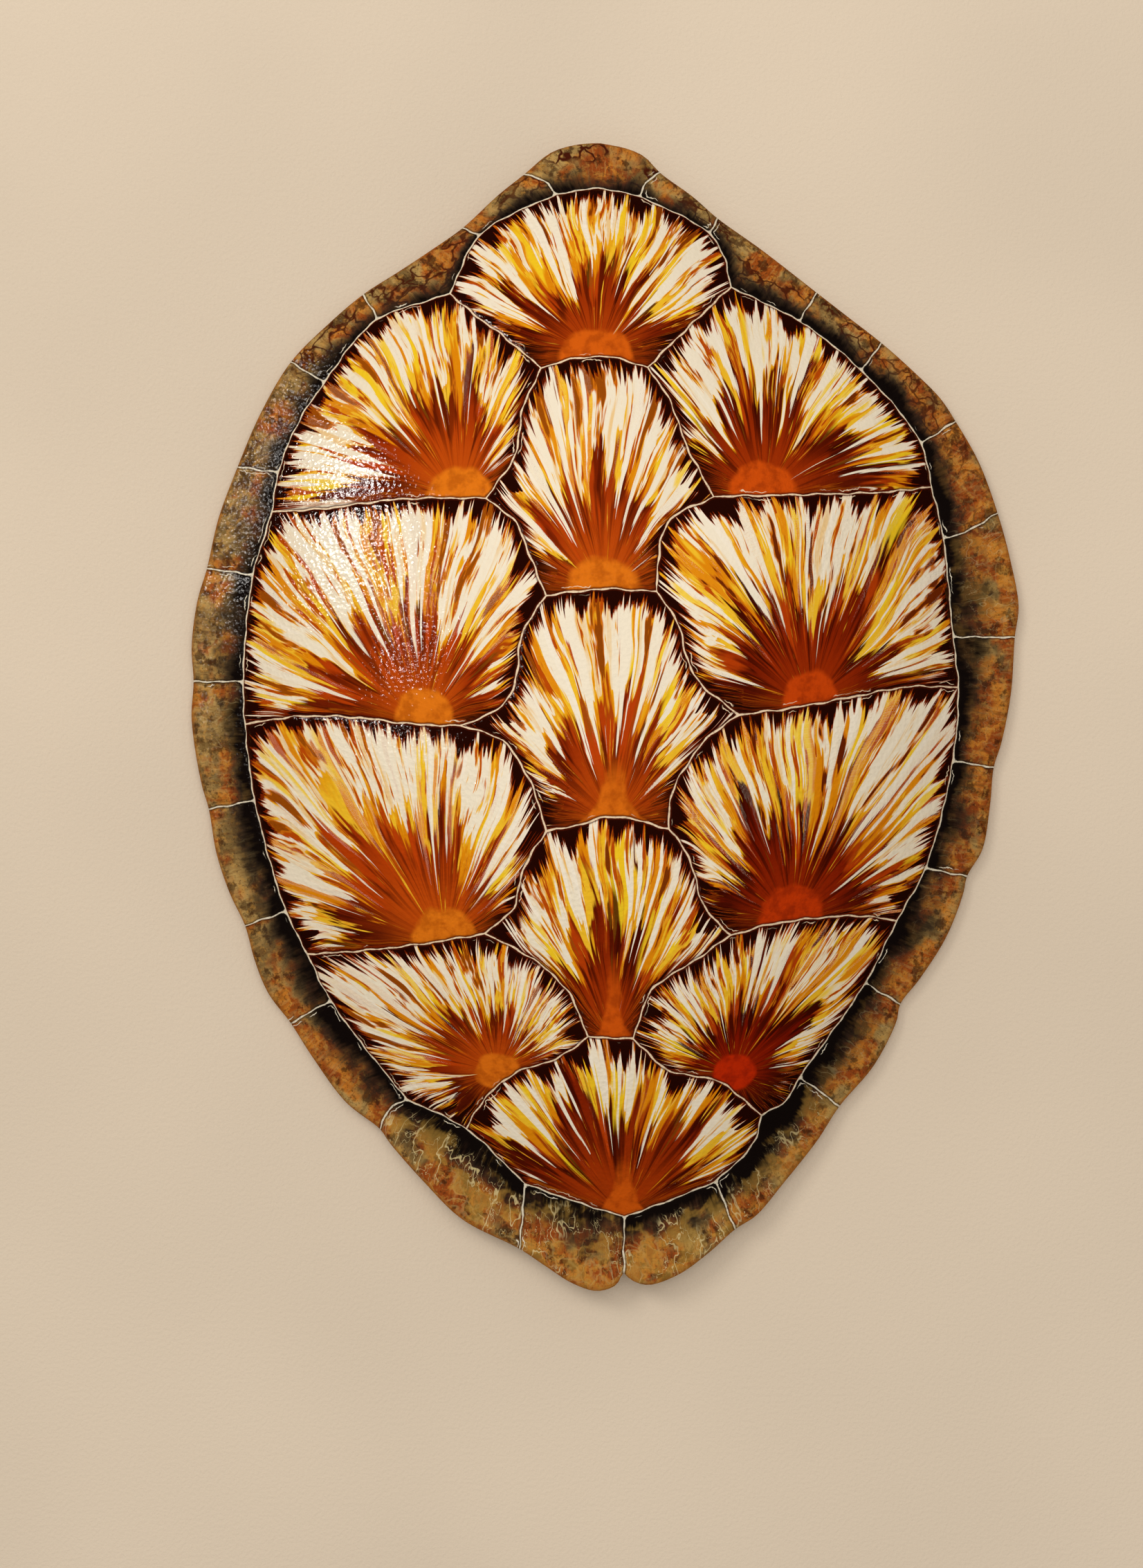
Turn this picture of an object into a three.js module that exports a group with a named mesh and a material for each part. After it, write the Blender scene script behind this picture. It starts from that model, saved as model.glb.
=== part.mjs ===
// The upper shell (carapace) of a sea turtle, cleaned and dried, lying dome up on its rim.
// Bone and horny plates (scutes) grew as one piece, so it is one closed solid: plates with
// V seams on top, a rounded lip round the edge, and a hollow with ribs and backbone below.
// Millimetres, +Z up, head end towards +Y. The origin is on the ground under the middle.

import * as THREE from "three";

// Heights and thicknesses
const CREST_HEIGHT = 129; // top of the dome
const SEAM_HEIGHT = 25; // mean height of the seam between the costal and marginal plates
const LIP_HEIGHT = 8; // thickness of the free edge
const FRONT_LIFT = 10; // how far the edge rises off the ground at the neck
const BACK_LIFT = 14; // and at the tail
const WALL = 6; // bone and horn together, square to the surface
const DOME_POWER = 2.1; // 2 is a parabola; more is flatter on top and steeper at the side
const BRIM_POWER = 1.4; // how quickly the brim of marginal plates flattens out

// Relief of the plates
const SEAM_DEPTH = 1.5;
const SEAM_HALF_WIDTH = 3;
const SCUTE_CROWN = 2.2; // how far a plate swells above its own edges
const MARGINAL_CROWN = 1.2;

// Underside
const FOOT_REACH = 0.965; // foot of the inner wall, as a share of the seam ring's radius
const LAND_REACH = 1.04; // the flat band that the shell rests on ends here
const LEAST_LAND = 9; // and is never narrower than this
const RIB_HEIGHT = 3.5;
const RIB_MARGINALS = [3, 10]; // one rib at the middle of each of these marginals
const RIB_SHAPE = [0, 0, 0.7, 1, 0.7, 0]; // over the cells of one marginal
const RIB_COURSE = [[0.25, 0.6], [0.5, 1], [0.75, 1], [1, 0.5]]; // way in from the foot, swell there
const BACKBONE_DEPTH = 12;
const BACKBONE_HALF_WIDTH = 18;
const MIDLINE_LEAN = -0.03; // the shell's own axis leans a little: x = lean * y

// Fineness of the net
const SEAM_STEP = 11.5;
const CELLS_PER_MARGINAL = 6;
const CENTRE = [0, 15]; // the point that the dome falls away from
const EDGE_ENDS = [-297, 298];

// Corners where plates meet, seen from above. For each side:
//   n: nuchal plate, first marginal and first vertebral
//   m1 to m11: inner end of the seam between marginals 1 and 2, 2 and 3, and so on
//   c1 to c5: outer end of the seam between the middle row and costal 1, costals 1 and 2, ...
//   v1 to v7: corners beside the middle row, from the neck back
//   e0 to e11: outer ends of the marginal seams, on the edge
const left = {
  n: [-25, 268], m1: [-64, 248], c1: [-79, 215], m2: [-117, 205], m3: [-144, 172], m4: [-168, 126],
  c2: [-171, 105], m5: [-181, 73], m6: [-186, 18], c3: [-185, -4], m7: [-180, -43], m8: [-164, -100],
  c4: [-153, -122], m9: [-141, -146], m10: [-102, -197], c5: [-71, -211], m11: [-41, -240],
  v1: [-32, 168], v2: [-58, 102], v3: [-29, 54], v4: [-70, -7], v5: [-29, -57], v6: [-59, -107],
  v7: [-9, -158],
  e0: [-42, 282], e1: [-74, 255], e2: [-126, 221], e3: [-164, 186], e4: [-192, 131], e5: [-208, 78],
  e6: [-215, 19], e7: [-207, -48], e8: [-188, -109], e9: [-164, -160], e10: [-117, -215],
  e11: [-44, -276],
};
const right = {
  n: [18, 267], m1: [54, 249], c1: [64, 218], m2: [100, 203], m3: [132, 178], m4: [163, 141],
  c2: [168, 118], m5: [174, 92], m6: [179, 41], c3: [182, 15], m7: [179, -23], m8: [165, -78],
  c4: [150, -105], m9: [134, -137], m10: [100, -185], c5: [80, -204], m11: [57, -239],
  v1: [20, 168], v2: [51, 103], v3: [23, 56], v4: [62, -2], v5: [29, -56], v6: [60, -108],
  v7: [13, -159],
  e0: [29, 283], e1: [59, 260], e2: [111, 222], e3: [145, 196], e4: [184, 155], e5: [206, 107],
  e6: [215, 42], e7: [204, -26], e8: [190, -83], e9: [155, -150], e10: [123, -203], e11: [68, -266],
};
const shared = { neck: [-3, 298], tail: [10, -257], notch: [10, -288] };

const corners = {};
for (const [side, points] of [["L", left], ["R", right]]) {
  for (const [name, point] of Object.entries(points)) corners[name + side] = point;
}
Object.assign(corners, shared);

// Seams and edge as runs: names are corners, pairs of numbers are points on the way.
const seamRuns = [
  ["nL", "m1L", "c1L"],
  ["c1L", "m2L", [-130, 192], "m3L", [-157, 153], "m4L", "c2L", "m5L", "m6L", "c3L", "m7L", "m8L",
    "c4L", "m9L", "m10L"],
  ["m10L", "c5L", "m11L"],
  ["m11L", "tail"],
  ["nR", "m1R", [61, 236], "c1R"],
  ["c1R", "m2R", "m3R", "m4R", "c2R", "m5R", "m6R", "c3R", "m7R", "m8R", "c4R", "m9R", "m10R",
    [93, -197], "c5R"],
  ["c5R", [76, -220], "m11R"],
  ["m11R", "tail"],
  ["nL", [-3, 271], "nR"],
  ["v1L", [-17, 172], [1, 173], "v1R"],
  ["v3L", [-3, 57], "v3R"],
  ["v5L", [-14, -54], [3, -50], "v5R"],
  ["v7L", "v7R"],
  ["c1L", [-68, 203], [-51, 187], "v1L"],
  ["v1L", [-41, 146], [-44, 124], "v2L"],
  ["c2L", [-140, 103], [-101, 104], "v2L"],
  ["v2L", [-44, 90], [-36, 71], "v3L"],
  ["v3L", [-40, 37], [-45, 9], [-55, -1], "v4L"],
  ["c3L", [-155, -1], [-125, -2], [-92, -6], "v4L"],
  ["v4L", [-50, -14], [-36, -35], "v5L"],
  ["v5L", [-40, -75], [-45, -94], "v6L"],
  ["c4L", [-135, -120], [-95, -114], "v6L"],
  ["v6L", [-36, -119], [-19, -135], "v7L"],
  ["v7L", [-23, -169], [-46, -179], [-62, -195], "c5L"],
  ["c1R", [43, 194], "v1R"],
  ["v1R", [31, 150], [38, 129], "v2R"],
  ["c2R", [137, 111], [95, 106], "v2R"],
  ["v2R", [29, 90], [24, 72], "v3R"],
  ["v3R", [32, 43], [41, 16], "v4R"],
  ["c3R", [152, 14], [121, 8], [90, 2], "v4R"],
  ["v4R", [46, -14], [30, -40], "v5R"],
  ["v5R", [38, -68], [47, -94], "v6R"],
  ["c4R", [127, -101], [82, -103], "v6R"],
  ["v6R", [41, -121], [22, -134], "v7R"],
  ["v7R", [31, -176], [56, -183], "c5R"],
  ["nL", [-30, 276], "e0L"],
  ["nR", [22, 277], "e0R"],
  ["m10L", [-113, -205], "e10L"],
  ["m5R", [183, 94], "e5R"],
  ["tail", "notch"],
];
for (const side of ["L", "R"]) {
  for (let i = 1; i <= 11; i++) {
    const bent = (side === "L" && i === 10) || (side === "R" && i === 5);
    if (!bent) seamRuns.push([`m${i}${side}`, `e${i}${side}`]);
  }
}
const edgeRun = [
  "neck", [-15, 297], [-28, 293], "e0L", [-55, 272], "e1L", [-90, 244], [-107, 233], "e2L",
  [-144, 206], "e3L", [-180, 159], "e4L", [-202, 104], "e5L", [-213, 61], [-216, 37], "e6L",
  [-216, -1], [-211, -34], "e7L", [-203, -71], [-196, -92], "e8L", [-183, -127], [-176, -144],
  "e9L", [-153, -177], [-135, -201], "e10L", [-112, -222], [-94, -242], [-74, -261], "e11L",
  [-30, -285], [-17, -293], [-4, -297], [6, -294], "notch", [13, -291], [22, -294], [38, -289],
  [54, -278], "e11R", [79, -259], [93, -243], [111, -221], "e10R", [141, -182], [153, -159],
  "e9R", [165, -137], [179, -115], [188, -92], "e8R", [198, -69], [202, -46], "e7R",
  [208, -13], [213, 13], "e6R", [217, 58], [213, 81], "e5R", [196, 134], "e4R", [176, 167],
  [162, 181], "e3R", [128, 209], "e2R", [82, 244], "e1R", [46, 271], "e0R", [21, 291], [12, 295],
  "neck",
];

// Plates, each as its corners in anticlockwise order seen from above.
const vertebrals = [
  "nL m1L c1L v1L v1R c1R m1R nR",
  "v1L v2L v3L v3R v2R v1R",
  "v3L v4L v5L v5R v4R v3R",
  "v5L v6L v7L v7R v6R v5R",
  "v7L c5L m11L tail m11R c5R v7R",
];
const costals = [
  "c1 m2 m3 m4 c2 v2 v1",
  "c2 m5 m6 c3 v4 v3 v2",
  "c3 m7 m8 c4 v6 v5 v4",
  "c4 m9 m10 c5 v7 v6",
];
const marginals = [
  "n e0 e1 m1", "m1 e1 e2 m2 c1", "m2 e2 e3 m3", "m3 e3 e4 m4", "m4 e4 e5 m5 c2",
  "m5 e5 e6 m6", "m6 e6 e7 m7 c3", "m7 e7 e8 m8", "m8 e8 e9 m9 c4", "m9 e9 e10 m10",
  "m10 e10 e11 m11 c5", "m11 e11 notch tail",
];

// Adds the side's letter to each corner name; the right side runs the other way round.
function onSide(names, side) {
  const list = names.split(" ").map((name) => (name in corners ? name : name + side));
  return side === "L" ? list : list.reverse();
}

// The net: vertices as [x, y, z], triangles as index triples that turn anticlockwise outside
const vertices = [];
const triangles = [];
const cornerVertex = new Map();
const strips = new Map(); // vertex indices along each seam or edge piece, by its two corners

function addVertex(x, y, z = 0) {
  vertices.push([x, y, z]);
  return vertices.length - 1;
}

function vertexAt(name) {
  if (!cornerVertex.has(name)) cornerVertex.set(name, addVertex(...corners[name]));
  return cornerVertex.get(name);
}

// Splits a run at its corners and stores the vertices of each piece, both ways round.
function layRun(run, cellsFor) {
  const points = run.map((stop) => (typeof stop === "string" ? corners[stop] : stop));
  const curve = new THREE.CatmullRomCurve3(points.map(([x, y]) => new THREE.Vector3(x, y, 0)));
  const spans = run.length - 1;
  let start = 0;
  for (let end = 1; end <= spans; end++) {
    if (typeof run[end] !== "string") continue;
    const piece = [];
    const fine = 12 * (end - start);
    for (let i = 0; i <= fine; i++) piece.push(curve.getPoint((start + i / 12) / spans));
    const path = new THREE.CatmullRomCurve3(piece);
    const cells = cellsFor(path.getLength(), run[start], run[end]);
    const strip = path.getSpacedPoints(cells).slice(1, -1).map((p) => addVertex(p.x, p.y));
    strip.unshift(vertexAt(run[start]));
    strip.push(vertexAt(run[end]));
    strips.set(`${run[start]} ${run[end]}`, strip);
    strips.set(`${run[end]} ${run[start]}`, [...strip].reverse());
    start = end;
  }
}

for (const run of seamRuns) layRun(run, (length) => Math.max(1, Math.round(length / SEAM_STEP)));
layRun(edgeRun, (length, from, to) =>
  [from, to].includes("neck") ? CELLS_PER_MARGINAL / 2 : CELLS_PER_MARGINAL);

// All strips round a plate, joined into one closed loop of vertex indices
function loopOf(names) {
  return names.flatMap((name, i) => {
    const next = names[(i + 1) % names.length];
    return strips.get(`${name} ${next}`).slice(0, -1);
  });
}

const plan = (index) => vertices[index].slice(0, 2);
const seamRing = loopOf([
  "nL", "m1L", "c1L", "m2L", "m3L", "m4L", "c2L", "m5L", "m6L", "c3L", "m7L", "m8L", "c4L", "m9L",
  "m10L", "c5L", "m11L", "tail", "m11R", "c5R", "m10R", "m9R", "c4R", "m8R", "m7R", "c3R", "m6R",
  "m5R", "c2R", "m4R", "m3R", "m2R", "c1R", "m1R", "nR",
]).map(plan);
const edgeNames = edgeRun.filter((stop) => typeof stop === "string").slice(0, -1);
const edgeLoop = loopOf(edgeNames);
const edgeRing = edgeLoop.map(plan);

// How far the edge is off the ground: none along the sides, rising to the neck and tail
function lift(y) {
  const [end, height] = y > CENTRE[1] ? [EDGE_ENDS[1], FRONT_LIFT] : [EDGE_ENDS[0], BACK_LIFT];
  const share = (y - CENTRE[1]) / (end - CENTRE[1]);
  return height * Math.max(0, 2 * share - 1) ** 2;
}

// Distance from the centre to the seam ring in the direction of a point, smoothed round the shell
function reach(x, y) {
  const spread = 0.16; // radians
  const direction = Math.atan2(y - CENTRE[1], x);
  let sum = 0;
  let weights = 0;
  for (const [sx, sy] of seamRing) {
    const turn = Math.atan2(sy - CENTRE[1], sx) - direction;
    const weight = Math.exp(-((Math.atan2(Math.sin(turn), Math.cos(turn)) / spread) ** 2));
    sum += weight * Math.hypot(sx, sy - CENTRE[1]);
    weights += weight;
  }
  return sum / weights;
}

function dome(x, y) {
  const share = Math.hypot(x, y - CENTRE[1]) / reach(x, y);
  return SEAM_HEIGHT + (CREST_HEIGHT - SEAM_HEIGHT) * (1 - share ** DOME_POWER) + lift(y);
}

// Nearest point of a closed ring: [distance, x, y]
function nearest(ring, x, y) {
  let best = [Infinity, 0, 0];
  ring.forEach(([ax, ay], i) => {
    const [bx, by] = ring[(i + 1) % ring.length];
    const along = ((x - ax) * (bx - ax) + (y - ay) * (by - ay)) / ((bx - ax) ** 2 + (by - ay) ** 2);
    const t = THREE.MathUtils.clamp(along, 0, 1);
    const px = ax + t * (bx - ax);
    const py = ay + t * (by - ay);
    const distance = Math.hypot(x - px, y - py);
    if (distance < best[0]) best = [distance, px, py];
  });
  return best;
}

// The brim of marginal plates carries the dome's flank on and flattens out towards the edge.
function brim(x, y) {
  const [inward, sx, sy] = nearest(seamRing, x, y);
  const [outward] = nearest(edgeRing, x, y);
  const edge = lift(y) + LIP_HEIGHT;
  return edge + (dome(sx, sy) - edge) * (outward / (inward + outward)) ** BRIM_POWER;
}

// A loop moved inwards by a distance, corners mitred
function insetLoop(points, distance) {
  return points.map(([x, y], i) => {
    const [px, py] = points[(i + points.length - 1) % points.length];
    const [nx, ny] = points[(i + 1) % points.length];
    const before = new THREE.Vector2(x - px, y - py).normalize();
    const after = new THREE.Vector2(nx - x, ny - y).normalize();
    const middle = before.clone().add(after).normalize();
    const mitre = Math.max(0.55, middle.dot(before));
    return [x - (middle.y * distance) / mitre, y + (middle.x * distance) / mitre];
  });
}

function centroid(points) {
  let area = 0;
  let cx = 0;
  let cy = 0;
  points.forEach(([ax, ay], i) => {
    const [bx, by] = points[(i + 1) % points.length];
    const cross = ax * by - bx * ay;
    area += cross;
    cx += (ax + bx) * cross;
    cy += (ay + by) * cross;
  });
  return [cx / (3 * area), cy / (3 * area)];
}

// Joins two rings of equal count with quads, the second one inside the first.
function joinRings(outer, inner) {
  outer.forEach((a, i) => {
    const next = (i + 1) % outer.length;
    triangles.push([a, outer[next], inner[next]], [a, inner[next], inner[i]]);
  });
}

// One plate: V seam, shoulder, then rings that swell towards the middle and close in a fan
function addPlate(names, surface, crown, ringShares) {
  let ring = loopOf(names);
  const shoulder = insetLoop(ring.map(plan), SEAM_HALF_WIDTH);
  const [cx, cy] = centroid(shoulder);
  for (const share of ringShares) {
    const swell = crown * (1 - (1 - share) ** 2);
    const inner = shoulder.map(([x, y]) => {
      const [px, py] = [x + (cx - x) * share, y + (cy - y) * share];
      return addVertex(px, py, surface(px, py) + swell);
    });
    joinRings(ring, inner);
    ring = inner;
  }
  const middle = addVertex(cx, cy, surface(cx, cy) + crown);
  ring.forEach((a, i) => triangles.push([a, ring[(i + 1) % ring.length], middle]));
}

// Heights of the seams and of the lip's outermost line, then the plates
const onEdge = new Set(edgeLoop);
vertices.forEach((vertex, index) => {
  const [x, y] = vertex;
  const inBrim = nearest(seamRing, x, y)[0] > 0.5 && reach(x, y) < Math.hypot(x, y - CENTRE[1]);
  const surface = inBrim ? brim(x, y) : dome(x, y);
  vertex[2] = onEdge.has(index) ? lift(y) + LIP_HEIGHT / 2 : surface - SEAM_DEPTH;
});

for (const names of vertebrals) addPlate(names.split(" "), dome, SCUTE_CROWN, [0, 0.35, 0.7]);
for (const side of ["L", "R"]) {
  for (const names of costals) addPlate(onSide(names, side), dome, SCUTE_CROWN, [0, 0.3, 0.65]);
  for (const names of marginals) addPlate(onSide(names, side), brim, MARGINAL_CROWN, [0, 0.5]);
}
addPlate(["nR", "e0R", "neck", "e0L", "nL"], brim, MARGINAL_CROWN, [0, 0.5]);

// Underside
function innerWall(x, y) {
  const span = reach(x, y);
  const share = Math.hypot(x, y - CENTRE[1]) / span;
  const slope = ((CREST_HEIGHT - SEAM_HEIGHT) * DOME_POWER * share ** (DOME_POWER - 1)) / span;
  return dome(x, y) - WALL * Math.hypot(1, slope);
}

// A ring below the edge: radiusAt gives its distance from the centre for an edge and a seam radius.
function undersideRing(radiusAt, height) {
  return edgeRing.map(([ex, ey]) => {
    const angle = Math.atan2(ey - CENTRE[1], ex);
    const radius = radiusAt(Math.hypot(ex, ey - CENTRE[1]), reach(ex, ey));
    const x = radius * Math.cos(angle);
    const y = CENTRE[1] + radius * Math.sin(angle);
    return addVertex(x, y, height(x, y));
  });
}

const lipBottom = undersideRing((edge) => edge - SEAM_HALF_WIDTH, (x, y) => lift(y));
const landEnd = undersideRing(
  (edge, seam) => Math.min(seam * LAND_REACH, edge - LEAST_LAND),
  (x, y) => lift(y),
);
const wallFoot = undersideRing((edge, seam) => seam * FOOT_REACH, innerWall);
for (const [outer, inner] of [[edgeLoop, lipBottom], [lipBottom, landEnd], [landEnd, wallFoot]]) {
  joinRings([...outer].reverse(), [...inner].reverse());
}

// Rows across the hollow, from the left foot of the wall over the backbone to the right foot.
const half = edgeLoop.length / 2;

function ribAt(row) {
  const cell = row - CELLS_PER_MARGINAL / 2;
  const marginal = Math.floor(cell / CELLS_PER_MARGINAL) + 1;
  if (marginal < RIB_MARGINALS[0] || marginal > RIB_MARGINALS[1]) return 0;
  return RIB_SHAPE[cell % CELLS_PER_MARGINAL];
}

function rowAcross(row) {
  const from = wallFoot[row];
  const to = wallFoot[edgeLoop.length - row];
  const [a, b] = [plan(from), plan(to)];
  const midY = (a[1] + b[1]) / 2;
  const middle = [MIDLINE_LEAN * midY, midY];
  const width = Math.hypot(a[0] - b[0], a[1] - b[1]) / 2;
  const base = Math.min(BACKBONE_HALF_WIDTH, width * 0.45);
  const drop = BACKBONE_DEPTH * THREE.MathUtils.smoothstep(width, 30, 90);
  const rib = RIB_HEIGHT * ribAt(row);
  const indices = [from];
  for (const [foot, turn] of [[a, -1], [b, 1]]) {
    const wallSide = RIB_COURSE.map(([share, swell]) => {
      const x = foot[0] + (middle[0] + turn * base - foot[0]) * share;
      const y = foot[1] + (middle[1] - foot[1]) * share;
      return addVertex(x, y, innerWall(x, y) - rib * swell);
    });
    const x = middle[0] + (turn * base) / 2;
    const crown = addVertex(x, midY, innerWall(x, midY) - drop);
    indices.push(...(turn < 0 ? [...wallSide, crown] : [crown, ...wallSide.reverse()]));
  }
  indices.push(to);
  return indices;
}

let previous = null;
for (let row = 1; row < half; row++) {
  const current = rowAcross(row);
  for (let i = 0; i + 1 < current.length; i++) {
    const [a, b] = previous ? [previous[i], previous[i + 1]] : [wallFoot[0], wallFoot[0]];
    if (previous) triangles.push([a, b, current[i + 1]]);
    triangles.push([a, current[i + 1], current[i]]);
  }
  previous = current;
}
for (let i = 0; i + 1 < previous.length; i++) {
  triangles.push([previous[i], previous[i + 1], wallFoot[half]]);
}

const geometry = new THREE.BufferGeometry();
geometry.setAttribute("position", new THREE.Float32BufferAttribute(vertices.flat(), 3));
geometry.setIndex(triangles.flat());
geometry.computeVertexNormals();

const carapace = new THREE.Mesh(
  geometry,
  new THREE.MeshStandardMaterial({ color: 0xa9672c, roughness: 0.35, metalness: 0 }),
);
carapace.name = "carapace";

const shell = new THREE.Group();
shell.add(carapace);

export default shell;
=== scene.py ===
"""Sea turtle shell, lying dome up on its rim on a pale floor.

The shell is one grown piece: thirteen ray-patterned plates over the dome, a brim of twenty-five
small plates round them, and a hollow of bare ribbed bone below. Outlines are in millimetres, as
in the shell's own source; everything is turned into metres when it is laid into a mesh.
"""

import logging
import math
from collections.abc import Sequence
from dataclasses import dataclass, field, replace
from enum import Enum

import bpy
import numpy as np
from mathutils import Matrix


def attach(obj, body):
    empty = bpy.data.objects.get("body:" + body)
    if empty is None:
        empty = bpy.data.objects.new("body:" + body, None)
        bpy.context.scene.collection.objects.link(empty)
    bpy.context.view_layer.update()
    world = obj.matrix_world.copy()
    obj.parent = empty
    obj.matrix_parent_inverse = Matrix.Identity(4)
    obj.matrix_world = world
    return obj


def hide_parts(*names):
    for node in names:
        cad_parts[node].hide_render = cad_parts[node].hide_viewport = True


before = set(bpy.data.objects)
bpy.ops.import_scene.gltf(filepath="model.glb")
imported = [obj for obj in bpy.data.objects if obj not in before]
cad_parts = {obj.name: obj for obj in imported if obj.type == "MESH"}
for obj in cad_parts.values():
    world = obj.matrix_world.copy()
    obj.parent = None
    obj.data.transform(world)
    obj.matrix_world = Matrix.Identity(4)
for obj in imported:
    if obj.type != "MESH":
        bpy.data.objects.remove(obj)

LOG = logging.getLogger("shell")

# Metres
MM = 0.001
FLOOR_GAP = 0.0003
WELD_DISTANCE = 0.00002

# Heights and thicknesses, mm
CREST_HEIGHT = 129.0
SEAM_HEIGHT = 25.0
LIP_HEIGHT = 8.0
FRONT_LIFT = 10.0
BACK_LIFT = 14.0
WALL = 6.0
DOME_POWER = 2.1
BRIM_POWER = 1.4
CENTRE = (0.0, 15.0)
EDGE_ENDS = (-297.0, 298.0)

# Relief, mm
GROOVE_DEPTH = 0.6
GROOVE_SPREAD = 1.1
SCUTE_CROWN = 1.7
SCUTE_SHOULDER = 11.0
RIM_CROWN = 1.2
RIM_SHOULDER = 6.0
GROOVE_ROWS = (0.0, 0.6, 1.3, 2.3, 3.8)
UNEVENNESS = 0.7
WAVER = 0.3
WAVER_START = 5.0
CORNER_REACH = 13.0
LEAST_RAY = 8.0
LIP_RADIUS = 4.0
LIP_FADE = 2.5

# Underside, mm and shares
FOOT_REACH = 0.965
LAND_REACH = 1.04
LEAST_LAND = 9.0
RIB_HEIGHT = 3.5
RIB_SPREAD = 11.0
RIB_MARGINALS = range(3, 11)
RIB_COURSE = ((0, 0.25, 0.5, 0.75, 1), (0, 0.6, 1, 1, 0.5))  # way in from the foot, height there
BACKBONE_DEPTH = 12.0
BACKBONE_HALF_WIDTH = 18.0
BACKBONE_SHARE = 0.45
BACKBONE_FADE = (30.0, 90.0)
MIDLINE_LEAN = -0.03
VERTEBRA_LENGTH = 44.0
VERTEBRA_BULGE = 0.09
BAND_ROWS = (0, 1 / 3, 2 / 3, 1)
FOOT_ROWS = (0.15, 0.3, 0.5, 0.7, 0.85, 1)

# Light
DAYLIGHT = "fffaf4"

# Corners where plates meet, seen from above, mm. n: nuchal plate; m: inner ends of the seams
# between marginals; c: outer ends of the seams between costals; v: corners beside the middle
# row, from the neck back; e: outer ends of the marginal seams, on the edge.
LEFT = {
    "n": (-25, 268), "m1": (-64, 248), "c1": (-79, 215), "m2": (-117, 205), "m3": (-144, 172),
    "m4": (-168, 126), "c2": (-171, 105), "m5": (-181, 73), "m6": (-186, 18), "c3": (-185, -4),
    "m7": (-180, -43), "m8": (-164, -100), "c4": (-153, -122), "m9": (-141, -146),
    "m10": (-102, -197), "c5": (-71, -211), "m11": (-41, -240),
    "v1": (-32, 168), "v2": (-58, 102), "v3": (-29, 54), "v4": (-70, -7), "v5": (-29, -57),
    "v6": (-59, -107), "v7": (-9, -158),
    "e0": (-42, 282), "e1": (-74, 255), "e2": (-126, 221), "e3": (-164, 186), "e4": (-192, 131),
    "e5": (-208, 78), "e6": (-215, 19), "e7": (-207, -48), "e8": (-188, -109),
    "e9": (-164, -160), "e10": (-117, -215), "e11": (-44, -276),
}
RIGHT = {
    "n": (18, 267), "m1": (54, 249), "c1": (64, 218), "m2": (100, 203), "m3": (132, 178),
    "m4": (163, 141), "c2": (168, 118), "m5": (174, 92), "m6": (179, 41), "c3": (182, 15),
    "m7": (179, -23), "m8": (165, -78), "c4": (150, -105), "m9": (134, -137),
    "m10": (100, -185), "c5": (80, -204), "m11": (57, -239),
    "v1": (20, 168), "v2": (51, 103), "v3": (23, 56), "v4": (62, -2), "v5": (29, -56),
    "v6": (60, -108), "v7": (13, -159),
    "e0": (29, 283), "e1": (59, 260), "e2": (111, 222), "e3": (145, 196), "e4": (184, 155),
    "e5": (206, 107), "e6": (215, 42), "e7": (204, -26), "e8": (190, -83), "e9": (155, -150),
    "e10": (123, -203), "e11": (68, -266),
}
SHARED = {"neck": (-3, 298), "tail": (10, -257), "notch": (10, -288)}
CORNERS = (
    {name + "L": point for name, point in LEFT.items()}
    | {name + "R": point for name, point in RIGHT.items()}
    | SHARED
)

Stop = str | tuple[float, float]

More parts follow.
